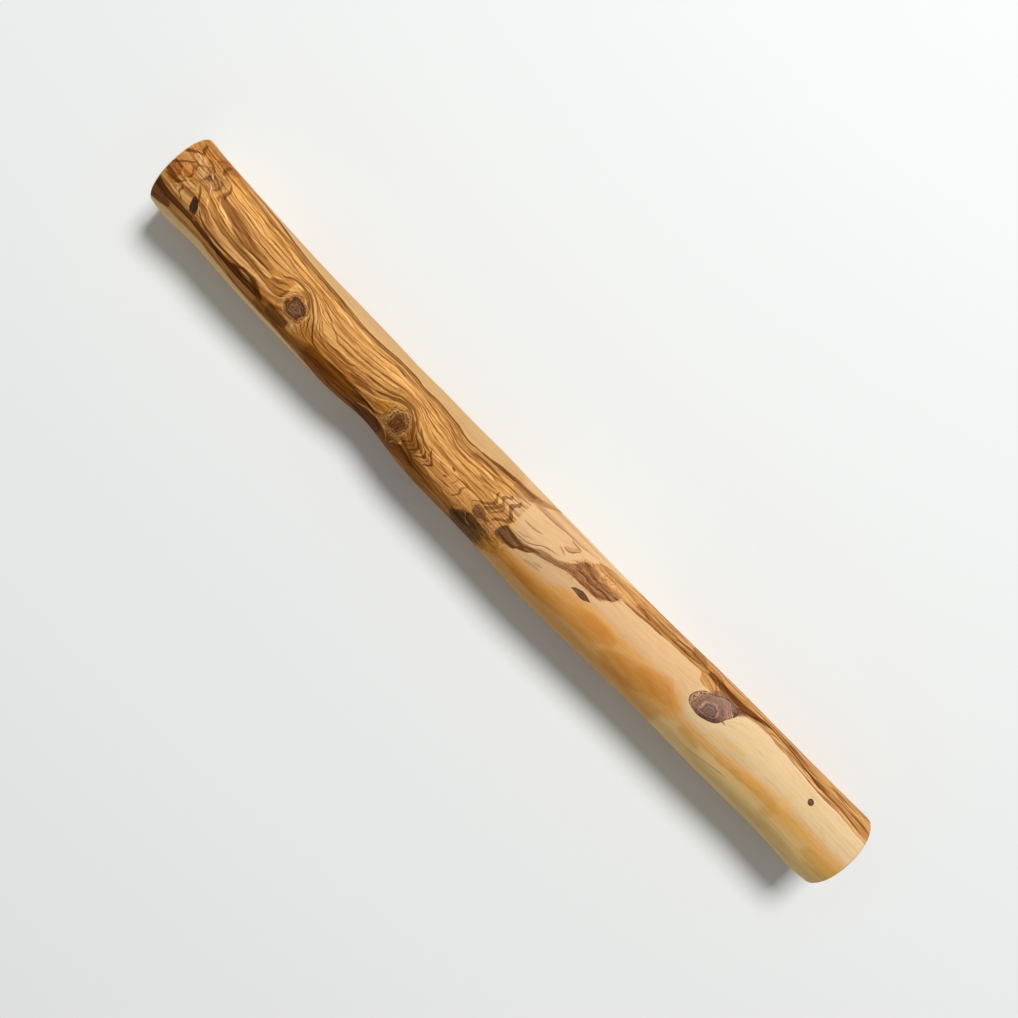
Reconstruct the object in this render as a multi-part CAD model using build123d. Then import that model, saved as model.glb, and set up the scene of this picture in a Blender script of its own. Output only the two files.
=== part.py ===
from build123d import *
import os
from bisect import bisect_left
from math import cos, hypot, radians, sin

# A French rolling pin, shaped by hand from one olive branch, in millimetres. It lies along X on its
# underside with its thicker end towards +X, and it bows towards -Y as the branch did. The origin is
# on the table, under the middle of the pin's box.

# The stick, as it lies: WIDTH and HEIGHT are those of its thickest section, which is the +X end
LENGTH = 480.0
WIDTH = 46.0
HEIGHT = 45.0
BOW = 5.2
END_ROUND = 1.2

# Sections along the stick: place along LENGTH from its middle, then shares of WIDTH, HEIGHT and BOW
STATION_SHARES = (
    (-0.500, 0.907, 0.905, 0.230),
    (-0.450, 0.897, 0.900, 0.520),
    (-0.390, 0.893, 0.895, 0.720),
    (-0.330, 0.894, 0.893, 0.860),
    (-0.270, 0.895, 0.895, 0.850),
    (-0.228, 0.887, 0.890, 0.810),
    (-0.186, 0.848, 0.855, 0.655),
    (-0.144, 0.902, 0.892, 0.810),
    (-0.102, 0.934, 0.915, 0.945),
    (-0.050, 0.945, 0.935, 0.860),
    (0.000, 0.953, 0.950, 0.930),
    (0.050, 0.983, 0.962, 1.000),
    (0.110, 0.977, 0.965, 0.920),
    (0.170, 0.963, 0.965, 0.820),
    (0.240, 0.968, 0.970, 0.600),
    (0.300, 0.988, 0.978, 0.490),
    (0.370, 0.985, 0.985, 0.360),
    (0.440, 0.995, 0.990, 0.280),
    (0.500, 1.000, 1.000, 0.150),
)

# Dead knots and bark: a thin seam of bark lies between each and the wood, and each narrows inwards
BARK_SEAM = 0.25
FLOOR_SHARE = 0.6
CUTTER_OVERRUN = 3.0

# The encased knot. Turn is its branch's lean from the top towards +Y, and twist turns its outline
# about the branch, in degrees
ENCASED_LONG = 27.0
ENCASED_WIDE = 14.4
ENCASED_DEPTH = 13.0
ENCASED_PLACE_SHARE = 0.281
ENCASED_TURN = 17.0
ENCASED_TWIST = 30.0
ENCASED_OUTLINE_SHARES = (
    (1.00, -0.10),
    (0.95, 0.50),
    (0.45, 0.92),
    (0.00, 0.85),
    (-0.45, 0.97),
    (-0.90, 0.60),
    (-1.00, 0.10),
    (-0.80, -0.40),
    (-0.40, -0.85),
    (0.20, -0.98),
    (0.60, -0.50),
)

# The diamond-shaped pin knot
DIAMOND_LONG = 12.0
DIAMOND_WIDE = 3.4
DIAMOND_DEPTH = 5.0
DIAMOND_PLACE_SHARE = 0.100
DIAMOND_TURN = 0.5
DIAMOND_TWIST = 9.0
DIAMOND_OUTLINE_SHARES = (
    (1.00, -0.20),
    (0.37, 0.65),
    (0.00, 0.95),
    (-0.67, 0.60),
    (-1.00, -0.10),
    (-0.50, -0.35),
    (0.00, -0.85),
    (0.38, -0.95),
)

# The small round pin knot
SMALL_ACROSS = 3.2
SMALL_DEPTH = 4.0
SMALL_PLACE_SHARE = 0.4245
SMALL_TURN = 20.0

# The wedge of bark near the -X end
BARK_LONG = 9.5
BARK_WIDE = 4.3
BARK_DEPTH = 3.5
BARK_PLACE_SHARE = -0.4535
BARK_TURN = -19.0
BARK_TWIST = -52.0
BARK_OUTLINE_SHARES = (
    (1.00, 0.20),
    (0.20, 0.95),
    (-0.60, 0.88),
    (-0.98, 0.17),
    (-0.50, -0.45),
    (0.16, -1.00),
    (0.64, -0.95),
)


def section_at(place_share):
    """Half the width, half the height and the sideways drift of the stick at a place along it."""
    places = [station[0] for station in STATION_SHARES]
    after = max(1, bisect_left(places, place_share))
    low, high = STATION_SHARES[after - 1], STATION_SHARES[after]
    part = (place_share - low[0]) / (high[0] - low[0])
    width, height, bow = (a + (b - a) * part for a, b in zip(low[1:], high[1:]))
    return width * WIDTH / 2, height * HEIGHT / 2, -bow * BOW


def section_face(place_share):
    """One cross-section of the stick: an oval that stands on the table, an arc above and one below."""
    half_width, half_height, drift = section_at(place_share)
    centre = (place_share * LENGTH, drift, half_height)
    plane = Plane(origin=centre, x_dir=(0, 1, 0), z_dir=(1, 0, 0))
    upper = EllipticalCenterArc((0, 0), half_width, half_height, 0, arc_size=180)
    lower = EllipticalCenterArc((0, 0), half_width, half_height, 180, arc_size=180)
    return plane * make_face(upper.edges() + lower.edges())


def make_stick():
    """The whole stick with eased ends, before anything is cut out of it."""
    stick = loft([section_face(station[0]) for station in STATION_SHARES])
    ends = stick.faces().sort_by(Axis.X)
    return fillet(ends[0].edges() + ends[-1].edges(), END_ROUND)


def branch_plane(place_share, turn, twist):
    """The plane across a branch where it leaves the stick's centre line, facing out."""
    half_width, half_height, drift = section_at(place_share)
    outwards = (0, sin(radians(turn)), cos(radians(turn)))
    centre = (place_share * LENGTH, drift, half_height)
    return Plane(origin=centre, x_dir=(1, 0, 0), z_dir=outwards).rotated((0, 0, twist))


def skin_height(place_share, turn):
    """From the stick's centre line to its surface along a branch."""
    half_width, half_height, drift = section_at(place_share)
    return 1 / hypot(sin(radians(turn)) / half_width, cos(radians(turn)) / half_height)


def spline_face(points):
    return make_face(Spline(*points, periodic=True))


def straight_face(points):
    return make_face(Polyline(*points, close=True))


def taper(outline, depth, place_share, turn, twist):
    """A plug from its floor to above the skin. outline(spread) gives its face at a spread of 1 on the skin."""
    plane = branch_plane(place_share, turn, twist)
    skin = skin_height(place_share, turn)
    spread_above = 1 + (1 - FLOOR_SHARE) * CUTTER_OVERRUN / depth
    floor = plane.offset(skin - depth) * outline(FLOOR_SHARE)
    above = plane.offset(skin + CUTTER_OVERRUN) * outline(spread_above)
    return loft([floor, above], ruled=True)


def outlined(shares, length, width, seam, draw):
    """A function that draws an outline of shares at a spread, grown by a seam."""

    def outline(spread):
        half_long = spread * length / 2 + seam
        half_wide = spread * width / 2 + seam
        return draw([(x * half_long, y * half_wide) for x, y in shares])

    return outline


def encased_knot(seam):
    outline = outlined(ENCASED_OUTLINE_SHARES, ENCASED_LONG, ENCASED_WIDE, seam, spline_face)
    return taper(outline, ENCASED_DEPTH, ENCASED_PLACE_SHARE, ENCASED_TURN, ENCASED_TWIST)


def diamond_knot(seam):
    outline = outlined(DIAMOND_OUTLINE_SHARES, DIAMOND_LONG, DIAMOND_WIDE, seam, straight_face)
    return taper(outline, DIAMOND_DEPTH, DIAMOND_PLACE_SHARE, DIAMOND_TURN, DIAMOND_TWIST)


def small_knot(seam):
    def outline(spread):
        return Circle(spread * SMALL_ACROSS / 2 + seam)

    return taper(outline, SMALL_DEPTH, SMALL_PLACE_SHARE, SMALL_TURN, 0)


def bark_pocket(seam):
    outline = outlined(BARK_OUTLINE_SHARES, BARK_LONG, BARK_WIDE, seam, straight_face)
    return taper(outline, BARK_DEPTH, BARK_PLACE_SHARE, BARK_TURN, BARK_TWIST)


PLUGS = {
    "encased_knot": encased_knot,
    "diamond_knot": diamond_knot,
    "small_knot": small_knot,
    "bark_pocket": bark_pocket,
}

stick = make_stick()
box = stick.bounding_box()
to_origin = Pos(-box.center().X, -box.center().Y, -box.min.Z)

body = stick
for make_plug in PLUGS.values():
    body = body - make_plug(BARK_SEAM)

os.makedirs("parts", exist_ok=True)
export_step(to_origin * body, "parts/pin_body.step")
for name, make_plug in PLUGS.items():
    export_step(to_origin * (make_plug(0) & stick), f"parts/{name}.step")

ends = (to_origin * body).faces().filter_by(GeomType.PLANE).sort_by(Axis.X)
print("box", box.size, "moved", to_origin.position)
print("end faces", ends[0].center(), ends[-1].center())
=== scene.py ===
"""A French rolling pin shaped by hand from one olive branch: its finish, light and camera."""
import bmesh
import bpy
from math import atan2, cos, hypot, pi, radians, sin, sqrt
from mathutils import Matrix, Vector, noise
from mathutils.bvhtree import BVHTree


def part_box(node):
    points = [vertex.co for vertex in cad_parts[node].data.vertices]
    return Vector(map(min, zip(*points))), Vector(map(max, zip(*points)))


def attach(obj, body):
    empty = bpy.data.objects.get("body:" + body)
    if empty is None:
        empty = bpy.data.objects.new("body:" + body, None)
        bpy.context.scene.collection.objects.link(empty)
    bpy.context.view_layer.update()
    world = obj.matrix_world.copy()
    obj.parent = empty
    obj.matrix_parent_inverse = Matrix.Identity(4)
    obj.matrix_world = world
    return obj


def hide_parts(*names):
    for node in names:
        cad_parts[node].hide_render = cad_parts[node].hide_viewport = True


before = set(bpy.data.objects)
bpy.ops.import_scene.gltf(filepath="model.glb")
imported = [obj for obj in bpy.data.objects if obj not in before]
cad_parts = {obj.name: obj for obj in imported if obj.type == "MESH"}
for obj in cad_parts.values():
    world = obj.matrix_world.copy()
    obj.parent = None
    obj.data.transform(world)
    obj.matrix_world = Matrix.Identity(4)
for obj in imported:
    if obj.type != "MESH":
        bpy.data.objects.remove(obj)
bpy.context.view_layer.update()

MM = 0.001

# The photograph's camera, in millimetres about the pin: it looks almost straight down, and the
# picture's right side points along VIEW_TURN from +X towards +Y
EYE = (-44.4, 2.8, 649.4)
AIM = (-5.5, 1.7, 21.5)
VIEW_TURN = 46.1
SENSOR = 36.0
LENS = 43.9
CLIP = (0.01, 20.0)

# Light: a soft window-like lamp beyond the +Y side, and pale light from all round
KEY_PLACE = (-180.0, 2136.0, 2940.0)
KEY_SIZE = 1260.0
KEY_POWER = 128.0
SKY_STRENGTH = 0.28
FLOOR_HALF = 3000.0
FLOOR_COLOUR = (231, 233, 232)
FLOOR_ROUGHNESS, FLOOR_GLOSS = 0.6, 0.2


def metres(point):
    return Vector(point) * MM


def place(obj):
    bpy.context.scene.collection.objects.link(obj)
    return obj


def linear(channel):
    share = channel / 255
    return share / 12.92 if share <= 0.04045 else ((share + 0.055) / 1.055) ** 2.4


def paint(red, green, blue):
    """A colour as it is seen in a picture, from 0 to 255, as the light that a shader works with."""
    return (linear(red), linear(green), linear(blue), 1.0)


def make_camera():
    camera = place(bpy.data.objects.new("camera", bpy.data.cameras.new("camera")))
    camera.data.sensor_width = SENSOR
    camera.data.lens = LENS
    camera.data.clip_start, camera.data.clip_end = CLIP
    back = (Vector(EYE) - Vector(AIM)).normalized()
    right = Vector((cos(radians(VIEW_TURN)), sin(radians(VIEW_TURN)), 0))
    up = back.cross(right).normalized()
    right = up.cross(back)
    turn = camera.matrix_world.to_3x3()
    for axis, direction in enumerate((right, up, back)):
        for row in range(3):
            turn[row][axis] = direction[row]
    camera.rotation_mode = "QUATERNION"
    camera.rotation_quaternion = turn.to_quaternion()
    camera.location = metres(EYE)
    bpy.context.scene.camera = camera


def make_table():
    far = FLOOR_HALF * MM
    mesh = bpy.data.meshes.new("table_top")
    mesh.from_pydata([(-far, -far, 0), (far, -far, 0), (far, far, 0), (-far, far, 0)], [], [(0, 1, 2, 3)])
    material = bpy.data.materials.new("pale_table")
    material.use_nodes = True
    shader = material.node_tree.nodes["Principled BSDF"]
    shader.inputs["Base Color"].default_value = paint(*FLOOR_COLOUR)
    shader.inputs["Roughness"].default_value = FLOOR_ROUGHNESS
    shader.inputs["Specular IOR Level"].default_value = FLOOR_GLOSS
    mesh.materials.append(material)
    place(bpy.data.objects.new("table_top", mesh))


def make_light():
    world = bpy.data.worlds.new("studio")
    bpy.context.scene.world = world
    world.use_nodes = True
    sky = world.node_tree.nodes["Background"]
    sky.inputs["Color"].default_value = (1.0, 1.0, 1.0, 1.0)
    sky.inputs["Strength"].default_value = SKY_STRENGTH
    lamp = bpy.data.lights.new("window", "AREA")
    lamp.shape = "DISK"
    lamp.size = KEY_SIZE * MM
    lamp.energy = KEY_POWER
    key = place(bpy.data.objects.new("window", lamp))
    key.location = metres(KEY_PLACE)
    key.rotation_mode = "QUATERNION"
    key.rotation_quaternion = metres(KEY_PLACE).to_track_quat("Z", "Y")
    bpy.context.scene.view_settings.view_transform = "Standard"


# The pin's skin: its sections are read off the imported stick

SKIN_ALONG = 520
SKIN_ROUND = 176
CAP_RINGS = 9
EDGE_ROUND = 1.3
EDGE_RINGS = 7
PROBE_STEP = 8.0
PROBE_FAR = 200.0
PROBE_OUT = 0.9
PROBE_TRIES = 3
EDGE_CLEAR = 1.2

# Hand shaping: its greatest depth in millimetres, then each lump's length, where its noise starts, how
# many there are around and how much it counts
LUMP_DEPTH = 0.32
LUMPS = ((55, 0, 1.4, 0.6), (14, 40, 1.4, 0.22), (90, 0, 4, 0.35))


def probe_section(tree, x, height):
    """Centre and half sizes of the stick at x. The underside gives its height, clear of every pocket."""
    for _ in range(PROBE_TRIES):
        left = tree.ray_cast(Vector((x, -PROBE_FAR, height)), Vector((0, 1, 0)))[0].y
        right = tree.ray_cast(Vector((x, PROBE_FAR, height)), Vector((0, -1, 0)))[0].y
        centre, half_width = (left + right) / 2, (right - left) / 2
        beside = [Vector((x, centre + side * PROBE_OUT * half_width, -PROBE_FAR)) for side in (-1, 1)]
        rise = sum(tree.ray_cast(start, Vector((0, 0, 1)))[0].z for start in beside) / 2
        height = rise / (1 - sqrt(1 - PROBE_OUT * PROBE_OUT))
    return centre, half_width, height


def cubic(a, b, c, d, t):
    """A smooth curve from b to c, which a and d lead on from."""
    return b + t * (c - a + t * (2 * a - 5 * b + 4 * c - d + t * (3 * (b - c) + d - a))) / 2


class Stick:
    """The stick's sections by place along it: drift, half width and half height, in millimetres."""

    def __init__(self):
        low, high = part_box("pin_body")
        self.low, self.high = low.x / MM, high.x / MM
        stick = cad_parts["pin_body"].data
        corners = [v.co / MM for v in stick.vertices]
        tree = BVHTree.FromPolygons(corners, [list(p.vertices) for p in stick.polygons])
        steps = round((self.high - self.low) / PROBE_STEP)
        self.sections = []
        height = high.z / MM / 2
        for i in range(steps + 1):
            x = self.low + (self.high - self.low) * i / steps
            inside = min(max(x, self.low + EDGE_CLEAR * EDGE_ROUND), self.high - EDGE_CLEAR * EDGE_ROUND)
            self.sections.append(probe_section(tree, inside, height))
            height = self.sections[-1][2]

    def at(self, x):
        """The section at x, on a smooth curve through the probed ones."""
        last = len(self.sections) - 1
        share = (x - self.low) / (self.high - self.low) * last
        before = min(max(int(share), 0), last - 1)
        around = [self.sections[min(max(before + k, 0), last)] for k in (-1, 0, 1, 2)]
        return tuple(cubic(*values, share - before) for values in zip(*around))


def lump(x, turn):
    """How far hand shaping took the surface in at a place, from 0 to LUMP_DEPTH."""
    side, up = sin(turn), cos(turn)
    depth = 0.5
    for length, start, count, weight in LUMPS:
        depth += noise.noise(Vector((x / length + start, up * count, side * count))) * weight
    return LUMP_DEPTH * min(max(depth, 0.0), 1.0)


def on_skin(stick, x, turn, inset=0.0):
    """A point of the skin at a turn from the top towards +Y, in radians, drawn in by inset."""
    drift, half_width, half_height = stick.at(x)
    depth = inset + lump(x, turn)
    reach = 1 / hypot(sin(turn) / (half_width - depth), cos(turn) / (half_height - depth))
    return metres((x, drift + reach * sin(turn), half_height + reach * cos(turn)))


def skin_rows(stick):
    """Places along the skin, and how far each is drawn in by a rounded edge."""
    first, last = stick.low + EDGE_ROUND, stick.high - EDGE_ROUND
    rows = [(first + (last - first) * i / SKIN_ALONG, 0.0) for i in range(SKIN_ALONG + 1)]
    for ring in range(1, EDGE_RINGS + 1):
        angle = pi / 2 * ring / EDGE_RINGS
        out, drawn_in = EDGE_ROUND * sin(angle), EDGE_ROUND * (1 - cos(angle))
        rows.insert(0, (first - out, drawn_in))
        rows.append((last + out, drawn_in))
    return rows


def ring_faces(outer, inner, flip):
    """Faces between two rings of as many corners."""
    faces = []
    for step in range(len(outer)):
        after = (step + 1) % len(outer)
        face = (outer[step], inner[step], inner[after], outer[after])
        faces.append(face[::-1] if flip else face)
    return faces


def cap_faces(points, rim, flip):
    """Closes an end with rings about its middle."""
    middle = sum((points[i] for i in rim), Vector()) / len(rim)
    faces, ring = [], rim
    for step in range(1, CAP_RINGS):
        inner = range(len(points), len(points) + len(rim))
        points += [points[i].lerp(middle, step / CAP_RINGS) for i in rim]
        faces += ring_faces(ring, inner, flip)
        ring = inner
    points.append(middle)
    for step in range(len(ring)):
        face = (ring[step], len(points) - 1, ring[(step + 1) % len(ring)])
        faces.append(face[::-1] if flip else face)
    return faces


def make_skin(stick):
    rows = skin_rows(stick)
    turns = [2 * pi * step / SKIN_ROUND for step in range(SKIN_ROUND)]
    points = [on_skin(stick, x, turn, inset) for x, inset in rows for turn in turns]
    rims = [range(row * SKIN_ROUND, (row + 1) * SKIN_ROUND) for row in range(len(rows))]
    faces = []
    for before, after in zip(rims, rims[1:]):
        faces += ring_faces(before, after, True)
    faces += cap_faces(points, rims[0], False) + cap_faces(points, rims[-1], True)
    mesh = bpy.data.meshes.new("olive_stick")
    mesh.from_pydata(points, [], faces)
    mesh.polygons.foreach_set("use_smooth", [True] * len(mesh.polygons))
    return place(bpy.data.objects.new("olive_stick", mesh))


# Shader trees are written as sums. A Field is a number, place or colour that changes over the
# surface: a socket, whose arithmetic adds the nodes that work it out.


class Field:
    def __init__(self, socket):
        self.socket = socket
        self.tree = socket.id_data

    def __add__(self, other):
        return maths("ADD", self, other)

    def __sub__(self, other):
        return maths("SUBTRACT", self, other)

    def __rsub__(self, other):
        return maths("SUBTRACT", other, self)

    def __mul__(self, other):
        return maths("MULTIPLY", self, other)

    def __truediv__(self, other):
        return maths("DIVIDE", self, other)

    def __abs__(self):
        return maths("ABSOLUTE", self)

    __radd__ = __add__
    __rmul__ = __mul__


def add_node(tree, kind, inputs=(), **settings):
    """A node with its settings made and its inputs fed, by name or number."""
    node = tree.nodes.new(kind)
    for name, value in settings.items():
        setattr(node, name, value)
    for name, value in dict(inputs).items():
        if isinstance(value, Field):
            tree.links.new(value.socket, node.inputs[name])
        else:
            node.inputs[name].default_value = value
    return node


def tree_of(*values):
    return next(value.tree for value in values if isinstance(value, Field))


def maths(operation, *values):
    node = add_node(tree_of(*values), "ShaderNodeMath", enumerate(values), operation=operation)
    return Field(node.outputs[0])


def larger(*fields):
    """The largest of several, kept in a chain so that few are held at a time."""
    most = fields[0]
    for field in fields[1:]:
        most = maths("MAXIMUM", most, field)
    return most


def smaller(a, b):
    return maths("MINIMUM", a, b)


def eased(value, low, high):
    """0 at low and 1 at high, eased at both."""
    inputs = {"Value": value, "From Min": low, "From Max": high}
    settings = {"interpolation_type": "SMOOTHSTEP", "clamp": False}
    node = add_node(tree_of(value, low, high), "ShaderNodeMapRange", inputs, **settings)
    return Field(node.outputs["Result"])


def swayed(value, noise_field, amount):
    """A value that noise about 0.5 moves to either side."""
    return value + (noise_field - 0.5) * amount


def blend(a, mask, b):
    return a + (b - a) * mask


def vector(x, y, z=0.0):
    return Field(add_node(tree_of(x, y, z), "ShaderNodeCombineXYZ", {"X": x, "Y": y, "Z": z}).outputs[0])


def axes(where):
    """A place's numbers along x, y and z."""
    node = add_node(where.tree, "ShaderNodeSeparateXYZ", {"Vector": where})
    return [Field(output) for output in node.outputs]


def vector_maths(operation, *values):
    node = add_node(tree_of(*values), "ShaderNodeVectorMath", enumerate(values), operation=operation)
    return Field(node.outputs["Value" if operation in ("LENGTH", "DOT_PRODUCT") else "Vector"])


def scaled(where, x, y, z):
    return vector_maths("MULTIPLY", where, (x, y, z))


def cloud(where, detail=2.0, roughness=0.5, distortion=0.0):
    """Noise about 0.5, with its blobs one unit apart."""
    inputs = {"Vector": where, "Scale": 1.0, "Detail": detail, "Roughness": roughness,
              "Distortion": distortion}
    return Field(add_node(where.tree, "ShaderNodeTexNoise", inputs).outputs["Fac"])


# The mix node's own numbers for its colour sockets
MIX_MASK, MIX_UNDER, MIX_OVER, MIX_RESULT = 0, 6, 7, 2


def layer(under, mask, over, mixing="MIX"):
    """A colour laid over another where the mask is 1."""
    inputs = {MIX_MASK: mask, MIX_UNDER: under, MIX_OVER: over}
    node = add_node(tree_of(under, mask, over), "ShaderNodeMix", inputs, data_type="RGBA", blend_type=mixing)
    return Field(node.outputs[MIX_RESULT])


def curve(value, points):
    """A drawn line: points are (0 to 1, 0 to 1), in order."""
    node = add_node(value.tree, "ShaderNodeFloatCurve", {"Value": value})
    line = node.mapping.curves[0]
    while len(line.points) > 2:
        line.points.remove(line.points[1])
    for place_along, height in points[1:-1]:
        line.points.new(place_along, height)
    for point, (place_along, height) in zip(line.points, points):
        point.location = (place_along, height)
        point.handle_type = "AUTO_CLAMPED"
    node.mapping.extend = "HORIZONTAL"
    node.mapping.update()
    return Field(node.outputs[0])


def stretched(value, places, heights):
    """A curve through heights at places from 0 to 1."""
    low = min(heights)
    span = max(max(heights) - low, 0.01)
    shares = [(height - low) / span for height in heights]
    return maths("MULTIPLY_ADD", curve(value, list(zip(places, shares))), span, low)


def drawn(value, points):
    """A drawn line in millimetres: value is the place along it, and points are (place, height). The
    share of the way along, which comes first, isn't held to 0 and 1."""
    first, last = points[0][0], points[-1][0]
    along = maths("MULTIPLY_ADD", value, 1 / (last - first), -first / (last - first))
    places = [(place_along - first) / (last - first) for place_along, _ in points]
    return along, stretched(along, places, [height for _, height in points])


def make_group(name, inputs, outputs, build):
    """A node group with named sockets. build takes the inputs as Fields and returns the outputs in order."""
    tree = bpy.data.node_groups.new(name, "ShaderNodeTree")
    for socket in inputs:
        tree.interface.new_socket(name=socket, in_out="INPUT", socket_type="NodeSocketFloat")
    for socket, kind in outputs.items():
        tree.interface.new_socket(name=socket, in_out="OUTPUT", socket_type=kind)
    entry = tree.nodes.new("NodeGroupInput")
    results = build(tree, *[Field(entry.outputs[socket]) for socket in inputs])
    leave = tree.nodes.new("NodeGroupOutput")
    for socket, result in zip(outputs, results):
        tree.links.new(result.socket, leave.inputs[socket])
    return tree


def use_group(tree, group, **inputs):
    """Places a group with its values. Returns its outputs as Fields, or the only one."""
    named = {name.replace("_", " ").title(): value for name, value in inputs.items()}
    node = add_node(tree, "ShaderNodeGroup", named, node_tree=group)
    results = [Field(output) for output in node.outputs]
    return results[0] if len(results) == 1 else results


# The figure of the wood, drawn on the pin as if its skin were laid out flat: places are millimetres
# along the pin, and around it from the top towards +Y

ROUND = 22.0

# The growth lines' course: lines that the grain follows from end to end, from the +Y side to the -Y
# side, each with the number of growth lines between it and the one before
FLOW = (
    (0, [(-240, 31), (-205, 29.5), (-190, 28), (-181, 26.3), (-169, 23.6), (-160, 21.8), (-152, 20.6),
     (-140, 20), (-131, 18.9), (-115, 16.6), (-106, 17.4), (-95, 18.8), (-86, 19.2), (-78, 17.6),
     (-68, 18.3), (-58, 17.9), (-48, 15.9), (-41, 15.2), (-34, 15.9), (-18, 19.4), (0, 21.8), (14, 29),
     (60, 34), (150, 33), (240, 32)]),
    (5, [(-240, 20), (-215, 17), (-205, 15.5), (-195, 14.5), (-180, 13), (-165, 12.5), (-152, 12.3),
     (-142, 11), (-130, 9), (-120, 8), (-105, 9), (-85, 11), (-66, 10.2), (-56, 9.5), (-48, 7.6), (-40, 7),
     (-30, 7), (-20, 7.5), (0, 10), (30, 12), (60, 13.5), (100, 16), (118, 17), (130, 14), (138, 8),
     (146, 12), (155, 17), (165, 18.2), (180, 16.7), (200, 14.8), (225, 14.2), (240, 12.4)]),
    (6, [(-240, 9), (-225, 9), (-215, 6), (-205, 4), (-190, 3), (-175, 3), (-167, 3.2), (-160, 5.5),
     (-155, 6.8), (-148, 6), (-144, 3.5), (-140, 0), (-135, -3.5), (-128, -5), (-120, -4), (-110, -2.5),
     (-100, -1.5), (-92, 0.5), (-84, 3.5), (-78, 4.6), (-73, 4.2), (-67, 1), (-60, -2), (-52, -3),
     (-30, -2.5), (-10, -3), (0, -3), (20, 0), (32, 2.5), (45, 4), (90, 3), (115, 4), (125, 1), (133, -2),
     (142, 1), (150, 4), (170, 5), (240, 4)]),
    (4, [(-240, -7), (-215, -7), (-208, -10), (-195, -11.5), (-180, -10), (-165, -8), (-158, -6), (-154, 0),
     (-149, 2), (-145, 0.5), (-141, -4), (-137, -9), (-131, -11), (-120, -11), (-110, -10.5), (-100, -8),
     (-92, -6.5), (-86, -2.5), (-80, 0.8), (-75, 1.8), (-70, -1.5), (-65, -6), (-60, -10), (-50, -13),
     (-30, -13.5), (0, -14), (10, -10), (30, -10), (60, -6), (90, -4), (110, -1), (118, -4), (125, -7),
     (140, -9), (170, -7.5), (240, -7)]),
    (4, [(-240, -15), (-200, -15.5), (-180, -16), (-160, -17), (-145, -19), (-130, -17), (-100, -15),
     (-85, -17), (-75, -22), (-65, -18), (-50, -19), (-30, -20), (0, -24), (30, -19), (60, -16), (100, -19),
     (120, -16), (150, -17), (240, -16)]),
    (4, [(-240, -27), (-236, -24), (-226, -20.9), (-205, -21), (-185, -23), (-170, -24.5), (-150, -26),
     (-130, -29), (-110, -32), (-60, -33), (0, -33), (240, -32)]),
)

# Where the pale sapwood begins on the +Y side of the left half, and along the -Y side
SAP_ABOVE = [(-240, 38), (-205, 31), (-190, 28.6), (-181, 26.5), (-175, 25.3), (-169, 23.8), (-160, 22),
             (-152, 20.8), (-140, 20.2), (-131, 19.1), (-124, 17.8), (-115, 17), (-106, 17.7), (-95, 19.1),
             (-86, 19.5), (-78, 18), (-68, 18.6), (-58, 18.2), (-48, 16.3), (-41, 15.6), (-34, 16.3),
             (-26, 17.7), (-18, 19.6), (-8, 20.6), (0, 21.9), (6, 25.2), (12, 30)]
SAP_BELOW = [(-240, -27.5), (-236, -24), (-232, -21.8), (-226, -20.8), (-205, -21), (-190, -22.2),
             (-175, -24), (-150, -26), (-130, -30), (-110, -35), (-24, -38), (0, -30)]

# Where the orange heartwood of the right half begins, towards +Y
HEART_EDGE = [(36, 4), (45, 4.1), (52, 4.3), (57, 4.5), (58, 6.8), (61, 8.5), (63.3, 10.4), (63.8, 13.2),
              (70, 13.8), (80, 14.7), (90, 15.3), (100, 16), (110, 16.4), (118, 17), (119.5, 16),
              (121, 12.2), (124, 11.3), (127, 11.6), (131, 10), (137, 3), (143, 6), (147, 13), (150, 15.6),
              (155, 17), (160, 18), (165, 18.3), (172, 17.4), (180, 16.8), (190, 15.9), (200, 14.9),
              (206, 14.3), (215, 14.4), (225, 14.3), (233, 13.1), (240, 12.5)]

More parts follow.
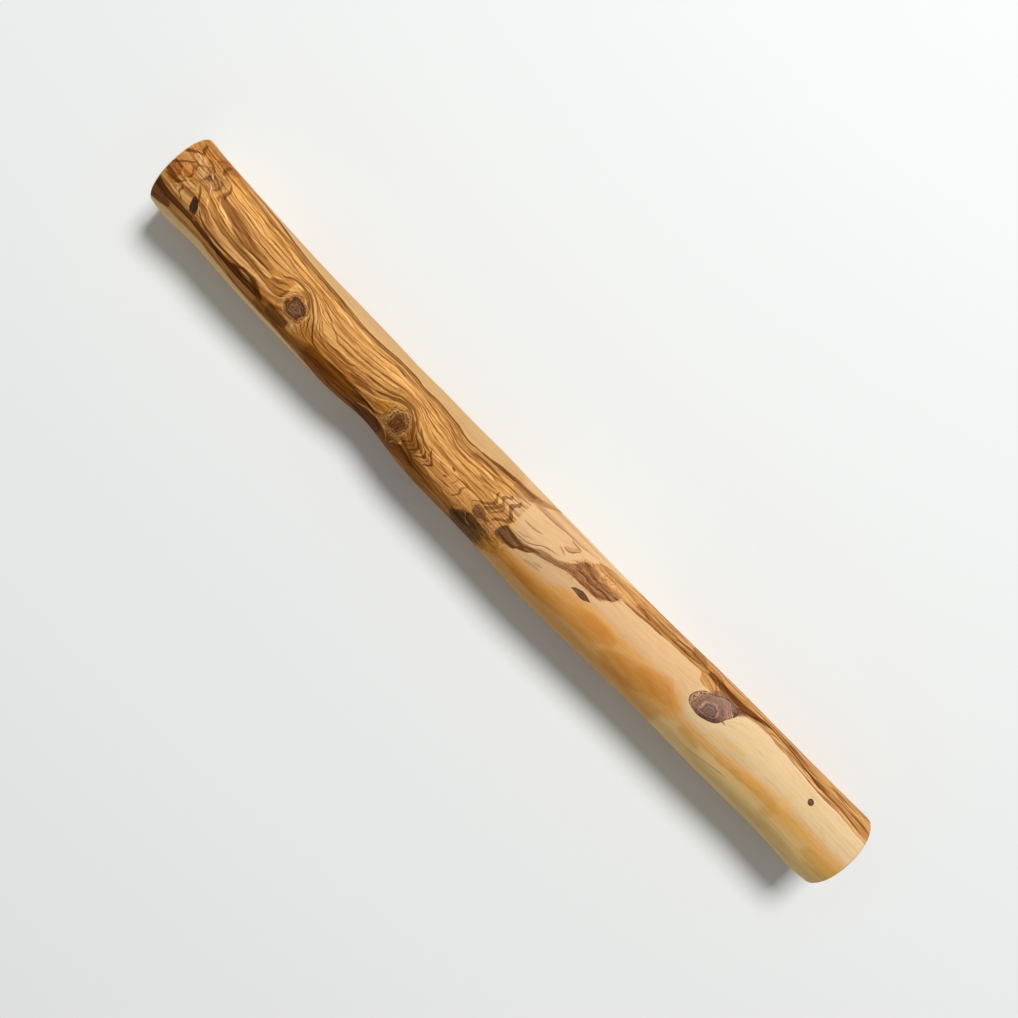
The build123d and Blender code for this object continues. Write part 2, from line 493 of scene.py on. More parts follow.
# Dark lines along the grain: darkness, half width, then places
LINES_LEFT = (
    (0.75, 0.55, [(-240, 30), (-205, 28.6), (-190, 27.4), (-181, 25.6), (-169, 22.7), (-160, 21.2),
     (-152, 20.2), (-140, 19.3), (-131, 18.2), (-115, 16.4), (-106, 17), (-95, 18.2), (-86, 18.6),
     (-78, 17.2), (-68, 17.8), (-58, 17.2), (-48, 15.1), (-41, 14.6), (-34, 15.2), (-22, 17.8), (-8, 19.4),
     (0, 20.8)]),
    (0.5, 1.0, [(-184, 25.5), (-175, 23.4), (-169, 21.9), (-160, 20.6), (-150, 19.6)]),
    (0.55, 0.6, [(-214, 26), (-208, 24.5), (-203, 22.8), (-197, 21.4), (-192, 20.6), (-187, 19.2),
     (-181, 20.4), (-174, 20.8), (-168, 19.2), (-160, 18.8), (-150, 18.8), (-140, 18), (-130, 16.5),
     (-121, 14.6)]),
    (0.5, 0.5, [(-205, 20.5), (-202, 17.2), (-197, 16.3), (-190, 16.3), (-184, 15.8), (-180, 17),
     (-176, 16.5), (-170, 17.5), (-163, 17), (-158, 15.7), (-150, 15.2), (-142, 15.3), (-128, 15),
     (-118, 13.6)]),
    (0.6, 0.5, [(-213, 24), (-210, 20.5), (-207, 17.8), (-205, 14.5), (-201, 13), (-195, 12.2),
     (-190, 12.8), (-183, 11.2), (-178, 11.8), (-170, 11.8), (-165, 11.3), (-160, 10.3), (-150, 10.4),
     (-144, 9.6), (-138, 7.5), (-131, 3.7), (-126, 1.4), (-120, -0.4), (-112, 0), (-106, 1), (-99, 1.4),
     (-93, 2.3), (-88, 3.6), (-82, 5.1), (-77, 5.8), (-72, 4.6), (-67, 2.2), (-61, -0.6)]),
    (0.5, 0.45, [(-214, 16), (-211, 13), (-207, 10.5), (-202, 9.8), (-197, 10.2), (-190, 9.5), (-183, 8.5),
     (-176, 9.4), (-170, 8.6), (-163, 8.6), (-157, 9.1), (-150, 8.6), (-144, 6.5), (-138, 3), (-133, -1),
     (-128, -3.9), (-121, -4.7), (-114, -4.4), (-108, -2.6), (-103, -1.6)]),
    (0.5, 0.4, [(-208, 7.5), (-198, 8), (-190, 7), (-181, 5.5), (-172, 5.2), (-165, 5.9), (-159, 7.4),
     (-152, 8.1), (-147, 7.4)]),
    (0.75, 0.55, [(-200, 1.5), (-197, 0.1), (-192, -1), (-186, -1.8), (-180, -1.2), (-174, -0.8),
     (-170, 0.4), (-168.5, 1.8)]),
    (0.6, 0.5, [(-214, 2), (-212, 0), (-208, -1.5), (-203, -3), (-197, -4), (-190, -4.2), (-182, -4),
     (-172, -4.3), (-167, -3), (-163, 0.3), (-159, 4.3)]),
    (0.6, 0.45, [(-213, -1.5), (-209, -4), (-204, -5.3), (-197, -6), (-190, -6.3), (-182, -6), (-174, -6.3),
     (-166, -7), (-160, -7.3), (-158.2, -6.2)]),
    (0.9, 0.55, [(-219, -1), (-216, -4.8), (-213, -8.2), (-209, -10.5), (-203, -11.5), (-195, -11.9),
     (-188, -11.5), (-182, -10.7), (-177, -9.4)]),
    (0.9, 0.6, [(-170, 3.3), (-165, 3.3), (-160, 5.5), (-156, 6.7), (-152, 6.4), (-148, 5.9), (-145, 4.1),
     (-141, 0.6), (-137, -4.2), (-133, -9.2), (-130, -11.4), (-121, -12)]),
    (0.7, 0.5, [(-155, 4), (-150, 4.3), (-146, 2), (-142, -2.5), (-138.5, -7), (-135.5, -11.5)]),
    (0.5, 0.45, [(-160, 8.2), (-157, 9.3), (-150, 9.7), (-145, 7.3), (-139, 2.8), (-134, -2.2),
     (-129, -6.3), (-122, -8.4), (-115, -8.1), (-108, -6), (-100, -5.7), (-93, -5)]),
    (0.65, 0.6, [(-122, -4.7), (-114, -4.4), (-108, -2.6)]),
    (0.85, 0.75, [(-105, -1.8), (-100, -1.6), (-95, -1.6), (-90, -0.6), (-85, 1.6), (-81, 3.2), (-76, 3.6),
     (-72, 2.6), (-68, 0), (-64, -2.6), (-60, -4)]),
    (0.55, 0.35, [(-103, -3.8), (-97, -3.8), (-92, -3)]),
    (0.9, 0.95, [(-95, -5.2), (-92, -4.7), (-88, -3), (-84, -0.8), (-80.5, 1.2), (-77, 1.7), (-73, 0.6),
     (-69, -2.5), (-65.5, -6.5), (-63, -10)]),
    (0.9, 0.8, [(-124, -12.2), (-118, -12.3), (-112, -11.9), (-106, -12.6), (-100, -13.6), (-94, -14.6),
     (-88, -14.9), (-84, -14.2), (-82, -12.5)]),
    (0.6, 0.4, [(-111, -13.5), (-105, -12), (-100, -11.9), (-97, -12.4)]),
    (0.45, 0.4, [(-134, 13.6), (-127, 13), (-119, 11.4), (-110, 11.2), (-100, 12), (-95, 13), (-88, 12.6)]),
    (0.75, 0.6, [(-98, 12.6), (-93, 13.5), (-88, 12.9)]),
    (0.45, 0.4, [(-118, 14.4), (-110, 13.4), (-100, 14), (-92, 14.8), (-84, 14.2), (-76, 15.2), (-66, 15.2),
     (-59, 14)]),
    (0.5, 0.4, [(-85, 10.4), (-76, 10.6), (-70, 9.2), (-62, 9.2)]),
    (0.6, 0.45, [(-80, 12.4), (-73, 12.6), (-67, 12), (-60, 10.9), (-55, 9.9), (-51, 9), (-48, 7.6),
     (-42, 6.7), (-36, 6.6), (-28, 6.7), (-22, 6.8), (-16.5, 7.9)]),
    (0.55, 0.55, [(-62, 14.2), (-58, 13.6), (-55, 12.6), (-50, 11.7), (-43, 11.3), (-38, 11.8)]),
    (0.35, 0.5, [(-62, 8.3), (-54, 7), (-48, 5.5), (-42, 4.3)]),
    (0.35, 0.5, [(-62, 3.4), (-54, 1), (-48, 0.2), (-42, -1)]),
    (0.8, 0.5, [(-41.3, -2), (-38, -2.7)]),
    (0.5, 0.35, [(-37, -2.7), (-31, -3), (-27.5, -3.5)]),
    (0.8, 0.5, [(-41.3, -8.9), (-38.8, -7.7)]),
    (0.5, 0.5, [(-48, -4.4), (-44, -5.8), (-38, -6.6)]),
    (0.7, 0.6, [(-31.6, -13.8), (-30.4, -12), (-29.4, -10)]),
    (0.6, 0.4, [(-27.8, -16.8), (-25.2, -15)]),
    (0.6, 0.7, [(-58, -14.4), (-50, -14.2), (-44, -15.6), (-39, -15.2), (-34, -16.8), (-26, -17)]),
    # The bundle under the edge of the heart
    (0.6, 0.4, [(-178, 22.4), (-170, 20.8), (-162, 20), (-150, 18), (-141, 17.6), (-130, 15.2),
     (-118, 15.6), (-104, 15.8), (-94, 17), (-86, 16.6), (-78, 15.8), (-68, 16.4), (-58, 15.4),
     (-48, 13.4)]),
    (0.7, 0.7, [(-46, 11.4), (-40, 11), (-33, 12), (-26, 12.4), (-18, 11.8), (-10, 12.2), (-5, 11.4)]),
    (0.6, 0.4, [(-60, 12.4), (-54, 10.8), (-48, 9.4), (-42, 9), (-34, 9.6), (-26, 9.8), (-18, 9),
     (-12, 10)]),
    (0.5, 0.35, [(-44, 14), (-36, 14.6), (-28, 15.6), (-20, 17), (-12, 17.4), (-4, 18.2), (4, 20)]),
    (0.5, 0.4, [(-30, 5.4), (-24, 5.2), (-19, 5.8), (-16, 6.8)]),
    (0.5, 0.35, [(-26, 2.2), (-21, 2.4), (-17, 2), (-15, 0.8)]),
    # Round the upper knot
    (0.8, 0.45, [(-160, 8), (-156, 9), (-151, 9.1), (-146.4, 7.8), (-142, 5), (-138, 0.5), (-134.6, -4.4),
     (-131.6, -8.8)]),
    (0.6, 0.3, [(-158, 7.4), (-152, 7.7), (-147.4, 6.5), (-143.6, 3.6), (-139.4, -0.9), (-135.8, -5.9),
     (-132.6, -10)]),
    (0.85, 0.55, [(-154, 5.2), (-150, 5.2), (-146, 3.4), (-142.8, 0), (-140, -4.4), (-137, -9.4),
     (-135, -13)]),
    (0.75, 0.45, [(-149, 3.2), (-145, 1.4), (-142, -2.4), (-140.4, -6.4), (-138.8, -11)]),
    (0.6, 0.5, [(-168, -2.6), (-164, -1.6), (-161, 0.6), (-158.6, 2.6)]),
    (0.55, 0.35, [(-167, -4.6), (-163, -4), (-160, -2.4), (-157.8, -1)]),
    (0.5, 0.4, [(-200, 5), (-192, 3.8), (-184, 1.6), (-176, 1.2)]),
    (0.5, 0.4, [(-206, 4.4), (-199, 2.6), (-192, 1), (-185, -0.2), (-178, -0.4)]),
    (0.55, 0.4, [(-184, 14.4), (-176, 14.6), (-168, 14), (-160, 13.6), (-150, 13.2), (-140, 12.4),
     (-131, 10.2), (-122, 9.6)]),
    (0.5, 0.4, [(-134, 6.4), (-127, 3.8), (-120, 2.6), (-112, 3), (-104, 3.6), (-96, 4.4), (-88, 6),
     (-80, 7.4), (-72, 6.6), (-64, 3.8)]),
    (0.45, 0.4, [(-118, 6.2), (-110, 5.8), (-102, 6.6), (-94, 7.2)]),
    (0.85, 0.8, [(-71, 0.2), (-67.4, -3), (-64.6, -7), (-62.6, -11)]),
    (0.8, 0.7, [(-66, 0.6), (-62, -2.4), (-58, -4.6), (-53, -5.2)]),
    (0.5, 0.4, [(-46, 3.4), (-38, 2.6), (-30, 2.8), (-24, 3.4)]),
)

# Lines that run across the grain: darkness, half width, then places as (around, along)
CROSSING = (
    # The zigzags that end the heart of the left half, from the right
    (0.75, 1.25, [(-7.6, -9), (-4.6, -7.4), (-2.6, -5), (-0.4, -2.8), (1.6, -3.4), (3.4, -5), (5.4, -6.6),
     (7, -6), (9, -4.2), (10.6, -4.6), (12, -7.6)]),
    (0.55, 0.65, [(-5.2, -13), (-3.4, -11), (-1.4, -9.2), (0.8, -8.2), (3, -9), (5, -10.2)]),
    (0.7, 1.0, [(-6, -17), (-3.6, -14.8), (-1.6, -12.6), (0.8, -10.8), (2.6, -10.4), (5, -12.4), (7, -11.4),
     (8.8, -9.6), (10.2, -11.4), (11.4, -15)]),
    (0.7, 0.85, [(-8, -22.6), (-6.8, -21.8), (-5.4, -20.2), (-3.4, -17.6), (-1.2, -15.2), (0.8, -13.8),
     (2.6, -14.4), (4.2, -15.8), (6, -15.6), (7.2, -17.6)]),
    (0.5, 0.4, [(-9, -19.6), (-7.4, -17.4), (-5.6, -15.6), (-3.8, -13.4), (-1.8, -11.2)]),
    # The chevrons beside the lower knot
    (0.85, 0.75, [(-14.6, -52.6), (-12.2, -50.6), (-9.6, -48.8), (-7.8, -50), (-5.8, -52.6), (-4, -53.4),
     (-3, -55.4)]),
    (0.6, 0.4, [(-14, -55), (-11.8, -53), (-9.4, -51.2), (-7.4, -52.6), (-5.8, -55), (-4.6, -57.6)]),
    (0.85, 0.75, [(-14.6, -58), (-12, -56), (-9.2, -53.8), (-7.6, -54.8), (-6, -57.4), (-4.8, -60.4)]),
    (0.6, 0.4, [(-14, -60), (-11.4, -58.2), (-8.8, -56.4), (-7.2, -57.8), (-5.6, -60.4), (-4.6, -62.4)]),
    (0.85, 0.75, [(-15, -63), (-12.4, -61), (-9.2, -59), (-7.2, -60.8), (-5.4, -63.4), (-4, -65.8)]),
    (0.65, 0.4, [(-15, -66), (-12, -63.8), (-9, -61.6), (-6.8, -63.6), (-5, -66.2)]),
    (0.75, 0.5, [(-15.4, -68), (-12, -66), (-8.8, -64.2), (-6.4, -66), (-4, -68.6)]),
    # Beside the knots, and in the quiet wood between the chevrons and the zigzags
    (0.9, 0.6, [(-14.5, -82.6), (-11, -82.2), (-6, -81.4), (-1.5, -80.8)]),
    (0.7, 0.6, [(-6.8, -158.4), (-3, -157.6), (0.6, -156.8)]),
    (0.65, 0.6, [(-14.2, -31.4), (-12, -30), (-9.6, -29.2), (-7, -29.8), (-4.6, -28.6), (-3.6, -26.6)]),
    (0.5, 0.4, [(-9.4, -36), (-7.6, -34.6), (-5.4, -34.2), (-3.8, -36)]),
)

LINES_RIGHT = (
    (0.7, 0.35, [(-2, -1.8), (3, -2.1), (7, -1.9), (10, -1.3), (13, 0), (16, 1.9), (19, 4), (24, 5.2),
     (27, 6.2), (29.4, 7.6)]),
    (0.6, 0.35, [(-1, 15.8), (5, 16.6), (12, 17.4), (20, 18.3), (30, 19), (36, 20.1), (42, 22)]),
    (0.5, 0.45, [(1.5, 5.6), (8, 6.3), (15, 7.9)]),
    (0.65, 0.45, [(25.6, 18.6), (28.4, 17.2), (31.6, 17.2), (34.2, 16.6)]),
    (0.65, 0.45, [(25, 11.4), (27.6, 11.2), (30.4, 12.6), (33, 15), (34.4, 16.6)]),
    (0.6, 0.4, [(23.4, 9.8), (25.4, 9.6), (27.6, 9), (29.4, 7.4)]),
    (0.4, 0.35, [(2.5, -0.8), (7, 0), (12, 2.6)]),
    (0.9, 0.8, [(-4, -3.4), (0, -3.6), (5, -4), (9, -4.4), (13, -3), (17, -1.2), (21, 0)]),
    (0.95, 0.9, [(-3, -8), (3, -8.8), (8, -8.2), (10, -6), (14, -4.8), (17, -2.6)]),
    (0.75, 0.5, [(12, -5), (15, -3.4), (18, -1.6), (22, -0.4), (26, 0.9), (31, 2.1), (34, 3), (37, 3.9)]),
    (0.45, 0.35, [(20, 0.6), (24, 1.6), (28, 2.6), (33, 3.8), (38, 5.2)]),
    (0.35, 0.6, [(15, -8.8), (20, -7.4), (26, -6.4)]),
    (0.3, 0.5, [(20, -5.6), (26, -4.4)]),
    (0.75, 0.45, [(36, 4.2), (45, 4.4), (52, 4.5), (57.6, 4.6)]),
    (0.6, 0.6, [(45, 6), (48, 5.8), (51, 5.4), (55.5, 6.4), (61, 8.9), (63.4, 10.6)]),
    (0.75, 0.5, [(62.8, 13.2), (70, 14), (80, 14.9), (90, 15.6), (97, 16)]),
    (0.45, 0.35, [(97, 16), (104, 16.4), (112, 16.8), (119, 17.4)]),
    (0.7, 0.7, [(95, 19), (99, 18.4), (103, 18.3), (110, 18.8), (115, 19.8), (120, 20.6), (127, 20.8)]),
    (0.6, 0.5, [(97, 19.4), (101, 21.6), (104, 22.6), (108, 23.4), (113, 24.4)]),
    (0.5, 0.8, [(75, 18.6), (77.5, 19.4), (80, 17.4), (83, 17)]),
    (0.45, 0.5, [(80, 27), (88, 26), (95, 26.2), (101, 27.2), (108, 25.4)]),
    (0.4, 0.4, [(86, 22), (92, 22.6), (98, 24), (101, 26)]),
    (0.95, 1.5, [(126, 18.6), (131, 20.2), (137, 19.6), (142, 18.8), (147, 19.2), (152, 20.3), (158, 21.6),
     (163, 23.3), (170, 24)]),
    (0.85, 0.7, [(140, 18), (146, 17.4), (152, 19), (158, 20.4)]),
    (0.7, 0.35, [(147, 13.4), (150, 15.9), (155, 17.3), (160, 18.3), (165, 18.6), (172, 17.7), (180, 17),
     (190, 16.1), (200, 15.1), (206, 14.5), (215, 14.6), (225, 14.4), (233, 13.3), (240, 12.8)]),
    (0.6, 0.35, [(145, 13), (148, 15.8), (152, 17.6), (157, 18.8), (164, 19.5), (172, 18.7), (180, 18.1),
     (190, 17.1)]),
    (0.8, 0.7, [(160, 22.8), (168, 23.8), (176, 23.2), (182, 22), (188, 20.6), (194, 19.4), (200, 18.2),
     (206, 17.6), (215, 17.5), (222, 17), (228, 16.3), (234, 15.2), (240, 14.4)]),
    (0.6, 0.4, [(172, 19.6), (180, 19), (188, 18.4), (195, 17.2), (202, 16.6)]),
    (0.9, 0.9, [(200.5, 17.8), (204, 17.8), (210, 17.6)]),
    (0.6, 0.6, [(199, 19.8), (205, 19.8), (211, 19.2)]),
    (0.55, 0.6, [(178, 24.8), (184, 24.2), (190, 23), (195, 23.2)]),
    (0.5, 0.6, [(212, 22.9), (219, 22.8), (225, 22.4), (231, 21.3), (236, 20.4), (240, 19.7)]),
    (0.4, 0.4, [(140, -19.8), (150, -18.2), (160, -15.8), (168, -14.4)]),
    (0.85, 0.35, [(139, 3), (141.5, 3.9), (143.6, 4.8), (145.4, 4.4)]),
    (0.7, 0.4, [(32, 9.6), (37, 11.4), (43, 12), (49, 11.2), (55, 12.4), (62, 12.2)]),
    (0.6, 0.4, [(36, 7.2), (42, 8.4), (48, 7.4), (54, 8.6), (60, 9.6)]),
)

# Pale lines: strength, half width, places
PALE_LINES = (
    (0.5, 0.35, [(-157, 8.1), (-151.4, 8.4), (-146.9, 7.1), (-142.8, 4.3), (-138.7, -0.2), (-135.2, -5.2),
     (-132.2, -9.4)]),
    (0.8, 0.9, [(-214, 14), (-212, 8), (-209, 3), (-205, 1.6), (-200, -0.8), (-195, -2.1), (-188, -2.7),
     (-171, -2.4), (-166, -0.4), (-161, 3.2)]),
    (0.9, 0.45, [(-204, -12.6), (-197, -13.2), (-189, -13)]),
    (0.8, 0.6, [(-149.4, -9.6), (-148.2, -6), (-146.8, -4.6)]),
    (0.6, 0.6, [(-104, -11.3), (-98, -10), (-92, -8.4), (-87, -5.5), (-83, -2.2), (-80, 0.2)]),
    (0.8, 0.6, [(-94, -13.2), (-89, -13.4), (-85, -12.4), (-82.5, -10.5)]),
    (0.7, 0.5, [(-98, -22), (-94, -18.8), (-88, -17), (-83, -17), (-78.5, -18.6)]),
    (0.55, 0.7, [(-84.5, -15), (-80, -16.6), (-77, -19), (-74, -22), (-72, -26)]),
    (0.25, 0.4, [(-23, -13.4), (-19.5, -15.4), (-17, -18.6), (-13.5, -19.4)]),
    (0.25, 0.4, [(-11, -14), (-7, -15.4), (-4, -18), (-2.6, -21)]),
    (0.5, 0.5, [(-182, -12.2), (-178, -12), (-173, -12.6)]),
    (0.6, 0.4, [(-206, -8.4), (-198, -9.8), (-188, -9.8), (-178, -8.4)]),
    (0.5, 0.4, [(-206, 10.6), (-198, 11.4), (-188, 10.8), (-178, 10.2), (-168, 10)]),
    (0.5, 0.5, [(-204, 18.6), (-196, 17.8), (-186, 17.4), (-176, 18.8)]),
    (0.5, 0.6, [(-140, 14.2), (-130, 12), (-120, 12.6), (-108, 12.2)]),
    (0.5, 0.6, [(-110, 9.4), (-100, 10), (-90, 11), (-82, 11.4)]),
)
PALE_CROSSING = (
    (0.7, 0.5, [(-7, -141.6), (-4, -142), (-1, -145), (0.6, -148.6)]),
    (0.85, 0.9, [(-15.5, -82.2), (-9, -81.4)]),
    (0.8, 0.6, [(-22, -71.6), (-19, -70), (-15, -67), (-13, -69)]),
    (0.8, 0.8, [(-15.5, -144), (-12, -145), (-8.5, -146)]),
    (0.7, 0.6, [(-10.5, -212), (-6, -215), (0, -219)]),
    (0.6, 0.5, [(-5.5, -210), (-2, -213), (2, -215.4), (6, -218), (9.5, -222)]),
    (0.7, 0.5, [(9.4, -219.8), (12.5, -223.4)]),
)

# The heart of the left half, and the one on the +Y side of the right half, as the areas below are given:
# colour, strength, softness of the edge, upper edge and lower edge
LEFT_HEART = ((224, 166, 95), 1.0, 0.5, SAP_ABOVE[:-2], SAP_BELOW)
RIGHT_HEART = ((204, 150, 90), 0.95, 0.4, [(31, 5.4), (34, 8), (36, 10.5), (38, 13), (41, 15.6), (44, 19),
               (48, 22.2), (52, 23.8), (60, 26), (75, 33), (110, 42), (250, 60)],
               [(31, 3.4)] + HEART_EDGE[:-1] + [(250, 11.8)])

